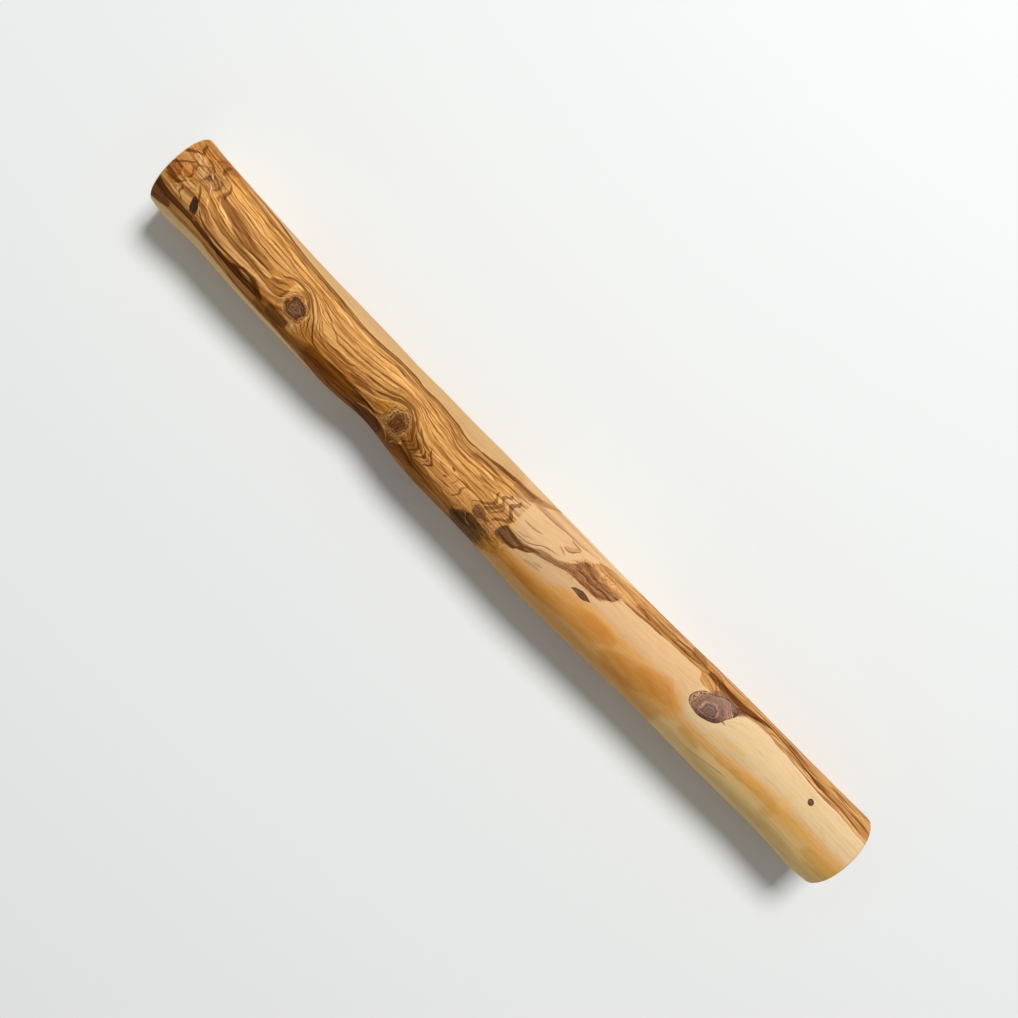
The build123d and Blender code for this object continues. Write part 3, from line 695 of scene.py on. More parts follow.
# Areas of one colour, in the order that they are laid
AREAS = (
    LEFT_HEART,
    # Golden sapwood on the left, creamier on the right, and redder heart towards the -Y side
    ((198, 158, 108), 1.0, 1.2, [(-205, 30), (-188, 44), (-160, 58), (-80, 64), (-36, 60), (-8, 44),
     (12, 29)], SAP_ABOVE[1:]),
    ((216, 174, 126), 0.9, 4.0, [(-14, 30), (60, 30), (128, 26)], [(-14, -16), (60, -16), (128, -14)]),
    ((204, 136, 62), 0.85, 2.5, [(-205, -9), (-150, -6), (-120, -5.4), (-90, -5), (-60, -6), (-20, -9)],
     [(-205, -24), (-150, -30), (-90, -44), (-20, -40)]),
    ((170, 114, 66), 0.85, 0.8, [(-14, 20.2), (-8, 20.7), (0, 22), (6, 25.4), (11, 29.6), (15, 33)],
     [(-14, 14), (-6, 15.4), (0, 17), (6, 20.4), (10, 24.5), (15, 30)]),
    ((222, 164, 94), 0.8, 3.0, [(-60, 3), (-40, 4), (-20, 5), (4, 0)], [(-60, -10), (-40, -14), (-20, -15),
     (4, -10)]),
    ((238, 170, 98), 0.8, 2.2, [(-60, -4), (-45, -5), (-30, -7), (-14, -9)], [(-60, -13.5), (-45, -14.5),
     (-30, -16.5), (-14, -13)]),
    ((180, 130, 78), 0.7, 1.2, [(-222, 32), (-205, 29), (-190, 27.7), (-175, 24.8), (-160, 21.6),
     (-140, 20), (-115, 16.8), (-95, 18.8), (-86, 19.2), (-78, 17.6), (-58, 17.9), (-41, 15.4), (-18, 19.2),
     (0, 21.2), (8, 27)], [(-222, 27), (-205, 22), (-190, 19.4), (-175, 19), (-160, 17), (-140, 15.6),
     (-115, 13), (-95, 13.6), (-78, 12.4), (-58, 13.4), (-41, 11), (-18, 14.4), (0, 19), (8, 24)]),
    ((148, 104, 66), 0.75, 1.0, [(-36, 16), (-28, 17.2), (-18, 19.6), (-4, 21), (4, 23)], [(-36, 14.6),
     (-28, 14.4), (-18, 15.4), (-4, 17.4), (4, 19.6)]),
    ((152, 96, 48), 0.85, 0.7, [(-213, 11), (-208, 8), (-200, 6.9), (-192, 5.6), (-184, 3.7), (-176, 3),
     (-167, 2.4)], [(-213, 4), (-205, 2.1), (-198, 0.4), (-192, -1), (-185, -1.8), (-176, -1.6),
     (-167, -0.4)]),
    ((190, 130, 70), 0.75, 0.5, [(-214, 1), (-208, -1.6), (-203, -3.1), (-197, -4), (-182, -4.1),
     (-172, -4.3), (-166, -3), (-159, 0)], [(-214, -1.8), (-209, -4.1), (-204, -5.3), (-197, -6),
     (-182, -6), (-174, -6.3), (-166, -7), (-159, -7.2)]),
    ((238, 176, 112), 0.9, 0.5, [(-214, -2.2), (-209, -4.6), (-204, -5.7), (-197, -6.4), (-182, -6.4),
     (-174, -6.7), (-166, -7.4), (-157, -8)], [(-214, -7), (-209, -9.9), (-203, -11.2), (-195, -11.6),
     (-188, -11.2), (-182, -10.2), (-174, -10), (-166, -10.6), (-157, -11)]),
    ((198, 136, 76), 0.85, 0.8, [(-250, -15), (-232, -15), (-225, -15), (-205, -16), (-190, -17.6),
     (-170, -18), (-150, -19)], [(-250, -30), (-236, -23.6), (-226, -20.7), (-205, -20.6), (-190, -21.8),
     (-170, -23.6), (-150, -25)]),
    ((128, 80, 38), 0.9, 0.8, [(-252, -12), (-240, -13), (-226, -16.5)], [(-252, -34), (-240, -28),
     (-226, -19)]),
    # A real dark streak, painted lighter on the -Y side as painted fill light
    ((88, 48, 14), 0.95, 0.4, [(-250, -9.6), (-240, -10), (-232, -11), (-225, -11.4), (-215, -12.2),
     (-205, -12.9), (-197, -13.6), (-190, -13.8), (-182, -12.6), (-172, -12.4), (-164, -14), (-158, -16)],
     [(-250, -15.4), (-240, -15.4), (-232, -15.4), (-225, -15.4), (-215, -15.6), (-205, -16.4), (-197, -17),
     (-190, -17.6), (-182, -17.6), (-172, -17), (-164, -17), (-158, -17)]),
    ((246, 206, 142), 0.9, 0.7, [(-250, -31), (-240, -27), (-232, -23), (-226, -21.8), (-205, -22),
     (-190, -23), (-170, -24.6), (-150, -25), (-130, -27), (-90, -40), (10, -44)], [(-250, -56),
     (-190, -60), (-130, -62), (-40, -60), (10, -46)]),
    ((186, 126, 60), 0.9, 0.5, [(-170, 2.4), (-165, 3), (-160, 5.2), (-156.5, 5)], [(-170, 0.6),
     (-165, -4.4), (-160, -6.8), (-156.5, -6)]),
    # Real darker heart; this area and the next are painted lighter on the -Y side as painted fill light
    ((170, 112, 46), 0.9, 0.9, [(-168, -13.4), (-160, -12.8), (-150, -13), (-146.6, -14), (-144, -18),
     (-141.6, -17), (-137, -15.4), (-133, -13.6), (-128, -12), (-118, -12.2), (-108, -12.8), (-100, -14),
     (-84, -15.2), (-70, -14.6), (-60, -14), (-50, -15.4), (-38, -17), (-26, -19), (-14, -22)],
     [(-168, -22), (-158, -23.6), (-140, -24.6), (-120, -32), (-96, -44), (-60, -48), (-36, -42),
     (-14, -28)]),
    ((146, 84, 20), 0.8, 1.4, [(-134, -14.6), (-128, -13), (-118, -13), (-108, -13.4), (-100, -14.8),
     (-90, -16.2), (-80, -17.4), (-70, -16), (-62, -15.4), (-54, -16.4), (-44, -19), (-36, -22)],
     [(-134, -19), (-128, -26), (-112, -32), (-100, -34), (-80, -36), (-70, -32), (-62, -26), (-54, -23),
     (-44, -22), (-36, -23)]),
    ((192, 128, 58), 0.6, 2.0, [(-56, -18), (-46, -18.6), (-34, -18), (-26, -19)], [(-56, -20), (-46, -23),
     (-34, -25), (-26, -24)]),
    ((150, 94, 44), 0.8, 0.8, [(-109, -6.8), (-104, -6.4), (-99, -6.2), (-93, -7), (-89, -8.4)],
     [(-109, -7.6), (-104, -9.2), (-99, -10), (-93, -9.8), (-89, -8.8)]),
    ((192, 126, 50), 0.9, 0.5, [(-91, -9.2), (-88, -6.4), (-85, -4), (-81.6, -2.4)], [(-91, -10.4),
     (-88, -11), (-85, -11.2), (-81.6, -11)]),
    ((160, 110, 64), 0.6, 0.9, [(-39, 12), (-36, 13.3), (-28, 13.1), (-21, 12.3)], [(-39, 11.6),
     (-36, 10.7), (-28, 10.9), (-21, 11.6)]),
    ((118, 70, 30), 0.6, 1.8, [(-71, -1), (-66, -3.4), (-61, -6), (-56, -8)], [(-71, -13), (-66, -15),
     (-61, -15), (-56, -12)]),
    # Pale wood pushed up round the upper knot, and the dark lens before it
    ((222, 164, 98), 0.9, 0.5, [(-158, 2), (-156, 4), (-153.6, 3.6), (-151, -1), (-148, -6), (-145, -7),
     (-142.4, -8.6), (-140, -12)], [(-158, -9.6), (-155, -11.4), (-151, -12.6), (-147.6, -13.6),
     (-145.6, -17), (-143.4, -16.4), (-141.6, -14.4), (-140, -13.4)]),
    ((96, 54, 18), 0.9, 0.8, [(-187, -13.6), (-183, -11.4), (-179, -9.8), (-174, -9.6), (-170, -10.6),
     (-166, -13.4), (-163, -15.6)], [(-187, -14.6), (-183, -16.6), (-177, -17.2), (-171, -17),
     (-166, -16.8), (-163, -16.4)]),
    ((112, 70, 36), 0.75, 1.1, [(-161, -14), (-157, -12.9), (-152, -13.2), (-147.4, -13.2), (-146, -15)],
     [(-160, -20), (-156, -21), (-150, -20.4), (-147.4, -18), (-146, -17)]),
    # Round the lower knot: the gold patch, the pale drips and the dark hollow
    ((110, 66, 18), 0.85, 0.7, [(-98, -20), (-94, -18.2), (-88, -17.6), (-82, -18.4), (-78, -20.6)],
     [(-98, -26), (-92, -32), (-84, -33), (-78, -28)]),
    ((186, 136, 66), 0.9, 0.5, [(-81.4, -12), (-79.6, -10.4), (-77, -11.4), (-75.4, -14)], [(-81.4, -14.4),
     (-79.6, -17), (-77, -17.4), (-75.4, -15.6)]),
    ((216, 160, 96), 0.9, 0.5, [(-86, -14.6), (-83, -13.6), (-81.6, -9), (-80.2, -8.6), (-79.4, -13),
     (-77.6, -16.6)], [(-86, -16), (-83, -17.4), (-80, -17.8), (-77.6, -18.6)]),
    # The dark burl under the middle, with a lobe and a link
    ((122, 88, 44), 0.9, 0.7, [(-27.4, -20), (-25, -17.8), (-23, -15.4), (-20, -13.6), (-16, -12),
     (-12, -12.4), (-8, -13), (-3, -12.6), (0, -11.6), (2, -12.6), (6.4, -17)], [(-27.4, -22), (-24, -27),
     (-20, -31), (-14, -34), (-8, -33), (-4, -29), (-1.5, -25), (2.4, -21), (4.6, -19), (6.4, -17.4)]),
    ((92, 58, 30), 0.8, 0.8, [(-25, -19), (-22, -16.4), (-19, -15), (-14, -16), (-9, -17)], [(-25, -20.6),
     (-22, -22), (-19, -23), (-14, -20), (-9, -17.6)]),
    ((98, 64, 40), 0.85, 0.6, [(-5, -13.4), (-1, -12.4), (2, -13.4), (5.4, -16.8)], [(-5, -16), (-2, -20),
     (1.6, -19.6), (5.4, -17.2)]),
    ((124, 82, 56), 0.8, 0.7, [(-20, -8), (-18.4, -5.4), (-15.6, -5.6), (-13.4, -6.4), (-11, -8),
     (-8.4, -8.4)], [(-20, -9), (-18, -11.2), (-15, -12), (-12.6, -10.4), (-10.4, -9.6), (-8.4, -8.8)]),
    ((106, 72, 50), 0.9, 0.6, [(-4.6, -8), (-3, -4.4), (-0.6, -2.4), (3, -2.8), (8, -3.2), (13, -2.2),
     (17, -0.4)], [(-4.6, -9.4), (-2, -11), (1, -11.4), (4.4, -10.2), (7.6, -9.6), (9.6, -6.6), (13, -5.2),
     (17, -2.4)]),
    # The brown band that runs from the burl to the jagged heart
    ((158, 112, 74), 0.9, 0.6, [(6, -3), (14, -1.5), (18, 1.2), (22, 2.8), (26, 3.3), (30, 5.6), (34, 8),
     (40, 11)], [(6, -7), (12, -5.5), (15, -3.5), (18, -1.5), (22, -0.2), (26, 1), (31, 2.2), (34, 3),
     (40, 4)]),
    ((160, 112, 74), 0.6, 1.2, [(-8, 17.4), (6, 19.2), (20, 20), (36, 21), (44, 22.4)], [(-8, 15.4),
     (6, 16.8), (20, 18.2), (36, 20.2), (44, 22)]),
    ((186, 140, 90), 0.6, 1.8, [(4, 25), (12, 27.4), (24, 28.4), (36, 28), (48, 26.4)], [(4, 24.4),
     (12, 24.2), (24, 24.6), (36, 25), (48, 25.8)]),
    ((188, 138, 92), 0.8, 0.5, [(25.4, 12.2), (27.6, 13.6), (30, 15), (32, 16.8), (34, 16.8)],
     [(25.4, 11.4), (27.6, 11.4), (30, 12), (32, 13.4), (34, 16)]),
    RIGHT_HEART,
    ((166, 116, 80), 0.85, 0.9, [(30, 5.2), (34, 8), (38, 12), (41, 14.6), (46, 16), (52, 14.4), (58, 14.2),
     (65, 14.4)], [(30, 3.4), (36, 3.6), (45, 3.8), (52, 4.2), (58, 6.6), (61, 8.4), (65, 13.6)]),
    ((170, 120, 74), 0.65, 1.2, [(43, 20.4), (48, 22.8), (54, 24), (62, 23.6), (72, 20.4)], [(43, 19.6),
     (48, 19), (54, 20), (62, 20.4), (72, 19.6)]),
    ((176, 124, 66), 0.8, 0.9, [(72, 19), (78, 22), (84, 20.4), (92, 21.6), (100, 20.6), (110, 22),
     (118, 24)], [(72, 17), (78, 17.2), (84, 16.6), (92, 17.2), (100, 17.6), (110, 18.4), (118, 20)]),
    ((158, 104, 54), 0.8, 0.7, [(109, 27), (113, 31), (117, 30), (121, 23)], [(109, 22), (113, 20.8),
     (117, 21), (121, 21.4)]),
    ((170, 112, 58), 0.75, 0.9, [(160, 25), (172, 26), (186, 24.6), (200, 21.6), (215, 20), (232, 19),
     (250, 17)], [(160, 23.4), (172, 22.4), (186, 20), (200, 17.4), (215, 16.6), (232, 15.4), (250, 13.4)]),
    ((116, 66, 20), 0.9, 0.6, [(122, 21), (128, 22.4), (134, 21.4), (142, 21.4), (150, 22.2), (158, 23.4),
     (166, 24.6)], [(122, 18.6), (128, 17.4), (134, 17), (142, 17), (150, 19.6), (158, 21.8), (166, 23.8)]),
    ((214, 164, 108), 0.8, 0.4, [(150, 16.6), (160, 19.8), (168, 21.6), (180, 20.6), (195, 18.6), (215, 17),
     (250, 14)], [(150, 15.6), (160, 18.2), (168, 18.6), (180, 17.2), (195, 15.8), (215, 14.8), (250, 12)]),
    # The tail of the large knot
    ((150, 112, 88), 0.9, 0.8, [(129, 13), (132, 15.4), (135, 17.4), (141, 18.4), (146, 17.8), (152, 17.4)],
     [(129, 12.4), (132, 9), (135, 6), (141, 5.6), (146, 12), (152, 16.8)]),
)

# Stains with soft, drawn-out edges along the -Y side, given as the areas are; some are also painted lighter
# there, as painted fill light on the side away from the lamp
STAINS_AND_FILL_LIGHT = (
    # A real golden stain, painted lighter on the -Y side as painted fill light
    ((226, 158, 66), 0.9, 2.6, [(-8, -11), (8, -10), (30, -8), (60, 0), (90, 0), (115, -1), (135, -7),
     (160, -5), (190, -2), (250, -3)], [(-8, -40), (40, -48), (120, -52), (250, -50)]),
    ((212, 150, 74), 0.85, 7.0, [(-44, -35), (28, -35)], [(-44, -62), (28, -62)]),
    # Pale sapwood, painted lighter on the -Y side as painted fill light
    ((244, 214, 148), 0.9, 3.0, [(118, -17), (132, -13), (170, -11), (200, -11), (250, -10)], [(118, -26),
     (132, -46), (170, -52), (250, -50)]),
    ((236, 190, 118), 0.8, 8.0, [(86, -30), (160, -30)], [(86, -62), (160, -62)]),
    ((208, 138, 58), 0.85, 1.8, [(2, -13), (15, -11.8), (25, -11), (35, -9.6), (45, -8), (55, -4.6),
     (62, -2.2), (70, -2), (80, -4)], [(2, -19), (20, -18.6), (28, -18.8), (38, -18.4), (48, -17),
     (58, -16.3), (66, -15), (74, -10), (80, -6)]),
    ((184, 114, 40), 0.45, 1.8, [(12, -15.6), (24, -13.6), (34, -13.4), (44, -14.4), (52, -15)],
     [(12, -17.4), (24, -18.6), (34, -18.6), (44, -17.6), (52, -16)]),
    ((200, 130, 58), 0.4, 2.0, [(52, -6.6), (58, -3.4), (66, -2.8), (74, -4.4)], [(52, -8), (60, -9.4),
     (68, -8.6), (74, -6.4)]),
    ((208, 140, 62), 0.85, 1.8, [(73, -13), (78, -9.6), (84, -6.6), (90, -4.6), (96, -3.2), (104, 0.2),
     (109, 1.4), (114, -1.4), (119, -5), (126, -7)], [(73, -14.6), (79, -18.4), (85, -20), (95, -20),
     (101, -18), (106, -14.4), (112, -11.4), (118, -9.6), (126, -8)]),
    ((192, 122, 48), 0.5, 1.8, [(92, -6), (98, -3.4), (104, -2), (110, -1.6), (115, -4), (121, -6.4)],
     [(92, -7), (98, -7.6), (104, -8.4), (110, -9.4), (116, -9), (121, -7.4)]),
    ((188, 122, 44), 0.4, 2.2, [(75, -13.6), (80, -11.4), (87, -10), (94, -11), (101, -13.6)], [(75, -14.6),
     (80, -18), (88, -19), (96, -18.4), (101, -15)]),
    ((206, 146, 64), 0.7, 1.6, [(128, -12.4), (134, -11), (140, -11.4), (147, -13.4)], [(128, -13.8),
     (134, -16), (141, -16.6), (147, -14.4)]),
    ((224, 176, 96), 0.7, 1.0, [(140, -4.4), (150, -1.4), (158, 1), (164, 1.4)], [(140, -5.4), (150, -4),
     (158, -1.6), (164, 0.4)]),
    ((214, 158, 74), 0.75, 0.8, [(153, -9.6), (157, -9), (161, -10), (164, -8), (168, -7.2), (174, -8),
     (182, -6.8), (190, -5.8), (197, -7)], [(153, -10.8), (157, -12), (161, -11), (165, -10.6),
     (169, -10.8), (174, -9.4), (182, -9.4), (190, -10), (197, -8.4)]),
    ((208, 152, 64), 0.55, 1.4, [(188, -8), (191, -7), (194, -6.6), (197, -8)], [(188, -11), (191, -15),
     (194, -15.6), (197, -11)]),
    ((226, 182, 100), 0.6, 1.0, [(191, 2), (194, 3.6), (197, 2)], [(191, -6), (194, -7.4), (197, -6)]),
    ((220, 172, 84), 0.65, 1.2, [(199, -5.8), (204, -5), (212, -5), (220, -6)], [(199, -8), (204, -9.2),
     (212, -8.4), (220, -8)]),
    ((210, 154, 60), 0.85, 1.6, [(217, -9.4), (226, -8), (238, -8.4), (250, -8)], [(217, -12), (226, -16),
     (238, -17), (250, -17)]),
)

# Spots: colour, strength, edge share, middle, half sizes, twist in degrees
SPOTS = (
    ((176, 126, 86), 0.5, 0.6, (-176.5, -12.9), (4.4, 0.6), -6),
    ((150, 100, 66), 0.7, 0.5, (-173, -14.8), (4.6, 0.45), -3),
    # The burl at the -X end
    ((190, 134, 76), 0.9, 0.3, (-229, 14), (11, 18), 0),
    ((198, 138, 70), 0.85, 0.25, (-232, 22.5), (9, 6.5), 0),
    ((176, 112, 54), 0.8, 0.25, (-221, 25), (6, 6), 30),
    ((220, 170, 116), 0.9, 0.15, (-231, 12.6), (3.8, 2.2), 0),
    ((204, 136, 68), 0.9, 0.12, (-230.6, 3.6), (4.2, 3.8), 35),
    ((156, 98, 48), 0.9, 0.12, (-236, -1.6), (4.2, 4.6), 20),
    ((218, 166, 104), 0.85, 0.2, (-225, -4.6), (5, 5.4), 0),
    ((142, 92, 50), 0.75, 0.2, (-226, 8), (4.1, 3.9), 0),
    ((212, 164, 106), 0.95, 0.14, (-226, 8), (3.0, 3.0), 0),
    ((176, 128, 82), 0.75, 0.4, (-217.4, 10.6), (4.0, 6.2), 0),
    ((104, 66, 42), 0.8, 0.3, (-221.6, 9.4), (1.6, 2.6), -30),
    ((210, 142, 68), 0.7, 0.3, (-212, 21), (5, 3.4), 30),
    ((196, 136, 74), 0.7, 0.25, (-215, -6), (2.4, 7), 14),
)

# Knots grown into the wood: middle, half sizes, twist in degrees
KNOTS = {
    "upper": ((-148.6, -4.8), (6.8, 7.4), 18.0),
    "lower": ((-74.8, -8.2), (7.2, 8.6), -10.0),
}

# The burls at the -X end, under the middle and at the edge of the heart: middle, half sizes, twist
BURL_REACHES = (((-231, 12), (17, 21), 0), ((-11, -16), (18, 12), 0), ((49, 11), (17, 8), 16))

# The first one's dark lines, with the steep ones as (around, along)
BURL_LINES = (
    (0.8, 0.9, [(-230.5, 16.6), (-227, 16), (-224, 14.4), (-221.6, 13.4)]),
    (0.85, 0.8, [(-239.5, -6.6), (-235, -5.6), (-231, -4.4), (-228.8, -2), (-227.2, 0.6)]),
    (0.7, 0.4, [(-227.6, 0.3), (-225, 1), (-222, 0.8)]),
    (0.5, 0.5, [(-240, -7.4), (-234, -7), (-228, -7.6)]),
    (0.5, 0.5, [(-240, -10), (-234, -10), (-228, -10.8)]),
    (0.45, 0.45, [(-238, 25.4), (-231, 24), (-224, 24.6)]),
    (0.45, 0.45, [(-239, 20.6), (-232, 19.6), (-226, 20.8)]),
    (0.4, 0.4, [(-221, 9.6), (-218, 11.8), (-214, 12)]),
    (0.4, 0.4, [(-220, 6.8), (-217, 8.6), (-213.6, 8.8)]),
)
BURL_CROSSING = (
    (0.9, 1.0, [(15, -232.4), (17, -233.4), (19, -234.5), (23, -235.6)]),
    (0.9, 1.1, [(7.4, -240.4), (10, -238.6), (13, -236), (16, -232.6)]),
    (0.8, 0.7, [(-1.4, -239.8), (3, -237), (6.5, -234), (10, -231)]),
    (0.8, 0.5, [(0.2, -230.2), (3, -228), (5.4, -229.6), (7.6, -231)]),
    (0.75, 0.6, [(5.6, -208.8), (8, -210.3), (12, -211), (15.3, -213), (17.5, -219), (21, -221)]),
    (0.7, 0.8, [(15.6, -219.4), (20, -220.6), (24, -221.4), (28.4, -221)]),
    (0.75, 0.5, [(-10.6, -224.4), (-9, -225), (-7, -227.4), (-5, -227), (-3, -228.8)]),
    (0.5, 0.4, [(17, -224), (22, -226), (27, -224.6)]),
    (0.85, 0.7, [(-4.6, -216.2), (-1, -219), (3, -222.2)]),
    (0.6, 0.45, [(13, -216.4), (9.6, -215.2), (6, -216.2), (4.2, -219)][::-1]),
)

# Colours of knots, as (share of the way from the pith, colour)
UPPER_KNOT_STOPS = (
    (0.00, (70, 44, 24)), (0.08, (140, 102, 74)), (0.16, (84, 52, 30)), (0.26, (150, 110, 82)),
    (0.34, (72, 42, 22)), (0.43, (126, 86, 56)), (0.51, (66, 36, 14)), (0.59, (92, 52, 22)),
    (0.66, (186, 128, 74)), (0.72, (118, 68, 30)), (0.80, (222, 164, 98)),
)
LOWER_KNOT_STOPS = (
    (0.00, (176, 126, 88)), (0.05, (66, 32, 12)), (0.11, (136, 86, 54)), (0.16, (70, 34, 14)),
    (0.25, (122, 74, 42)), (0.30, (64, 30, 10)), (0.38, (132, 82, 46)), (0.44, (70, 34, 12)),
    (0.51, (176, 120, 70)), (0.57, (84, 44, 16)), (0.64, (214, 160, 100)), (0.70, (104, 56, 22)),
    (0.76, (206, 146, 82)), (0.82, (150, 94, 44)),
)
ENCASED_STOPS = (
    (0.00, (84, 56, 44)), (0.05, (140, 106, 88)), (0.12, (100, 76, 66)), (0.19, (142, 112, 96)),
    (0.25, (92, 68, 60)), (0.33, (146, 110, 90)), (0.38, (196, 152, 118)), (0.42, (112, 78, 62)),
    (0.49, (150, 112, 92)), (0.55, (98, 68, 54)), (0.61, (172, 130, 104)), (0.66, (104, 70, 52)),
    (0.72, (208, 162, 122)), (0.76, (92, 58, 40)), (0.82, (206, 160, 118)), (0.86, (96, 60, 40)),
    (0.91, (200, 154, 110)), (0.96, (88, 54, 34)),
)
PIN_KNOT_STOPS = (
    (0.00, (70, 42, 26)), (0.30, (122, 80, 50)), (0.55, (96, 58, 34)), (0.75, (130, 86, 54)),
    (0.90, (74, 44, 26)),
)


# Node groups that more than one material uses

# Fibres and pores: how many blobs of noise there are to a millimetre along the grain and across it
FIBRE_LONG, FIBRE_FINE = 0.07, 2.1
PORE_LONG, PORE_FINE, PORE_START = 0.3, 3.0, 9.0
PORE_EDGE = (0.68, 0.76)


def pin_place_nodes(stick):
    """Where a point lies on the laid-out skin, and its place about the stick's middle line."""
    span = stick.high - stick.low
    places = [i / (len(stick.sections) - 1) for i in range(len(stick.sections))]
    drifts = [section[0] for section in stick.sections]
    heights = [section[2] for section in stick.sections]

    def build(tree):
        where = Field(add_node(tree, "ShaderNodeTexCoord").outputs["Object"])
        along, side, up = (part * (1 / MM) for part in axes(where))
        along_share = maths("MULTIPLY_ADD", along, 1 / span, -stick.low / span)
        side = side - stretched(along_share, places, drifts)
        up = up - stretched(along_share, places, heights)
        around = maths("ARCTAN2", side, up) * ROUND
        return along, around, vector(along, around), vector(along, side, up)

    outputs = {"Along": "NodeSocketFloat", "Around": "NodeSocketFloat",
               "Laid Out": "NodeSocketVector", "Centred": "NodeSocketVector"}
    return make_group("pin_place", (), outputs, build)


def stroke_nodes(tree, place_share, line, around, half_width, edge):
    """A brush stroke along a line, full in its middle and drawn out at both ends."""
    ends = abs(place_share * 2 - 1)
    taper = 1 - ends * ends * ends * ends
    far = (half_width + edge) * taper
    return (eased(abs(around - line), far, far - edge * 2),)


def area_nodes(tree, place_share, span, upper, lower, around, soft):
    """1 inside an area, and eased to 0 at its edges and ends."""
    start = place_share * span
    ends = smaller(start, span - start) - soft
    inside = smaller(smaller(upper - around, around - lower), ends)
    return (eased(inside, soft * -1.0, soft),)


def fibre_nodes(tree, along, side, up):
    """Fine fibres and pores along the grain."""
    fibre = cloud(vector(along * FIBRE_LONG, side * FIBRE_FINE, up * FIBRE_FINE), detail=3.0, roughness=0.6)
    dash = cloud(vector(along * PORE_LONG, side * PORE_FINE + PORE_START, up * PORE_FINE), detail=0.0)
    return fibre, eased(dash, *PORE_EDGE)


def make_groups(stick):
    mask = {"Mask": "NodeSocketFloat"}
    fibres = {"Fibre": "NodeSocketFloat", "Pores": "NodeSocketFloat"}
    area = ("Share", "Span", "Upper", "Lower", "Around", "Soft")
    return {
        "place": pin_place_nodes(stick),
        "stroke": make_group("stroke", ("Share", "Line", "Around", "Half Width", "Edge"), mask, stroke_nodes),
        "area": make_group("area", area, mask, area_nodes),
        "fibre": make_group("fibre", ("Along", "Side", "Up"), fibres, fibre_nodes),
    }


# Materials: colours as they are seen in a picture, roughness as the least and what noise adds, and reliefs
# in metres. Pairs of numbers are where an easing starts and where it is full

SAP_CREAM = (219, 188, 142)
LINE_BROWN = (104, 56, 14)
PALE_LINE = (250, 198, 128)
WOOD_GLOSS, KNOT_GLOSS, BARK_GLOSS = 0.02, 0.04, 0.2
WOOD_ROUGHNESS, KNOT_ROUGHNESS, BARK_ROUGHNESS = (0.36, 0.16), (0.48, 0.2), (0.8, 0.15)
WOOD_RELIEF, KNOT_RELIEF, BARK_RELIEF = 0.00006, 0.0001, 0.0004

# What a mark does to the wood's own red, green and blue
GROWTH_DARK = (0.56, 0.44, 0.30)
GROWTH_PALE = (1.28, 1.36, 1.45)
FIBRE_DARK = (0.80, 0.72, 0.60)
FIBRE_PALE = (1.12, 1.14, 1.16)
PORE_DARK = (0.62, 0.54, 0.44)

# Noise drawn out along the grain: a blob's length and breadth in millimetres, and the noise's settings
SWAY = ((9, 5), {"detail": 2.0})
SWING = ((7, 5), {"detail": 1.0, "distortion": 0.4})
FEATHER = ((20, 2.2), {"detail": 2.0, "roughness": 0.6})
WASH = ((30, 5), {"detail": 3.0, "roughness": 0.6})
CRINKLE = ((3.6, 3.6), {"detail": 3.0, "distortion": 0.8})
SWIRL = ((8, 6), {"detail": 2.0, "distortion": 1.4})

# How far noise moves what is drawn, in millimetres
WANDER_ALONG, WANDER_AROUND, WANDER_EDGE = 1.6, 1.5, 1.5
STAIN_ALONG, STAIN_AROUND = 4.0, 5.0

# How strong stains are, how wide drawn lines and their edges are, how dark lines are, and where around the
# pin the unseen underside takes over
STAIN_SHARE = (0.75, 1.1)
LINE_SHARE = (0.5, 1.3)
LINE_EDGE = 0.26
LINE_STRENGTH = 0.92
UNDER_PLACE = (38.0, 48.0)

# How strongly growth and fibres show in plain wood, and how much more in the heart
GROWTH_SHOWN, FIBRE_SHOWN = (0.14, 0.86), (0.25, 0.55)
FIBRE_DARK_SHARE, FIBRE_PALE_SHARE, PORE_STRENGTH = (0.5, 0.7), (0.45, 0.3), 0.7

# Burls: their edge, and their swirls' turns, dark parts and curls with how strong each is
BURL_EDGE = (1.15, 0.85)
SWIRL_TURNS = 7.0
SWIRL_DARK, SWIRL_STRENGTH = (0.52, 0.64), 0.5
CURL_EDGE, CURL_STRENGTH = (0.24, 0.06), 0.65
SPOT_WAVER = 0.8

# Knots grown into the wood: how uneven they are, their edge, how much of the ramp they fill, how far they
# cover the wood, and how far they clear it of growth bands
GROWN_WAVER, GROWN_EDGE, GROWN_SCALE, GROWN_COVER, GROWN_CLEAR = 0.85, (1.12, 0.94), 0.8, 0.95, 0.8

# Growth lines to a millimetre beyond the outer flow lines, and dark lines to a growth line with their drift,
# width, edges and shade
LINES_BEYOND = 0.25
LINES_PER_STEP = 1.15
LINES_DRIFT = 4.0
LINES_WIDTH, LINES_OUTER, LINES_INNER = (0.06, 0.16), 0.09, 0.03
LINES_SEEN, SHADE_SEEN = (0.36, 0.56), (0.3, 0.6)
SHADE_RISE, SHADE_FALL = (0.0, 0.5), (0.62, 0.5)
LINES_STRENGTH, SHADE_STRENGTH = 0.75, 0.3

# The broad, narrow and fine bands' noise: a blob's length in millimetres, blobs to a growth line, where the
# noise starts, and its settings
BANDS = (
    (80, 0.7, 0.0, {"detail": 1.0}),
    (34, 2.3, 5.0, {"detail": 2.0, "roughness": 0.6}),
    (16, 6.5, 11.0, {"detail": 1.0}),
)
BELOW_SCALE = (0.014, 0.3, 0.3)

# The bands' tints: band, where the tint starts, where it is full, strength, tint
BAND_TINTS = (
    (0, 0.5, 0.68, 0.55, GROWTH_DARK),
    (0, 0.5, 0.3, 0.5, GROWTH_PALE),
    (1, 0.52, 0.62, 0.7, GROWTH_DARK),
    (1, 0.48, 0.34, 0.4, GROWTH_PALE),
    (2, 0.55, 0.68, 0.55, GROWTH_DARK),
)

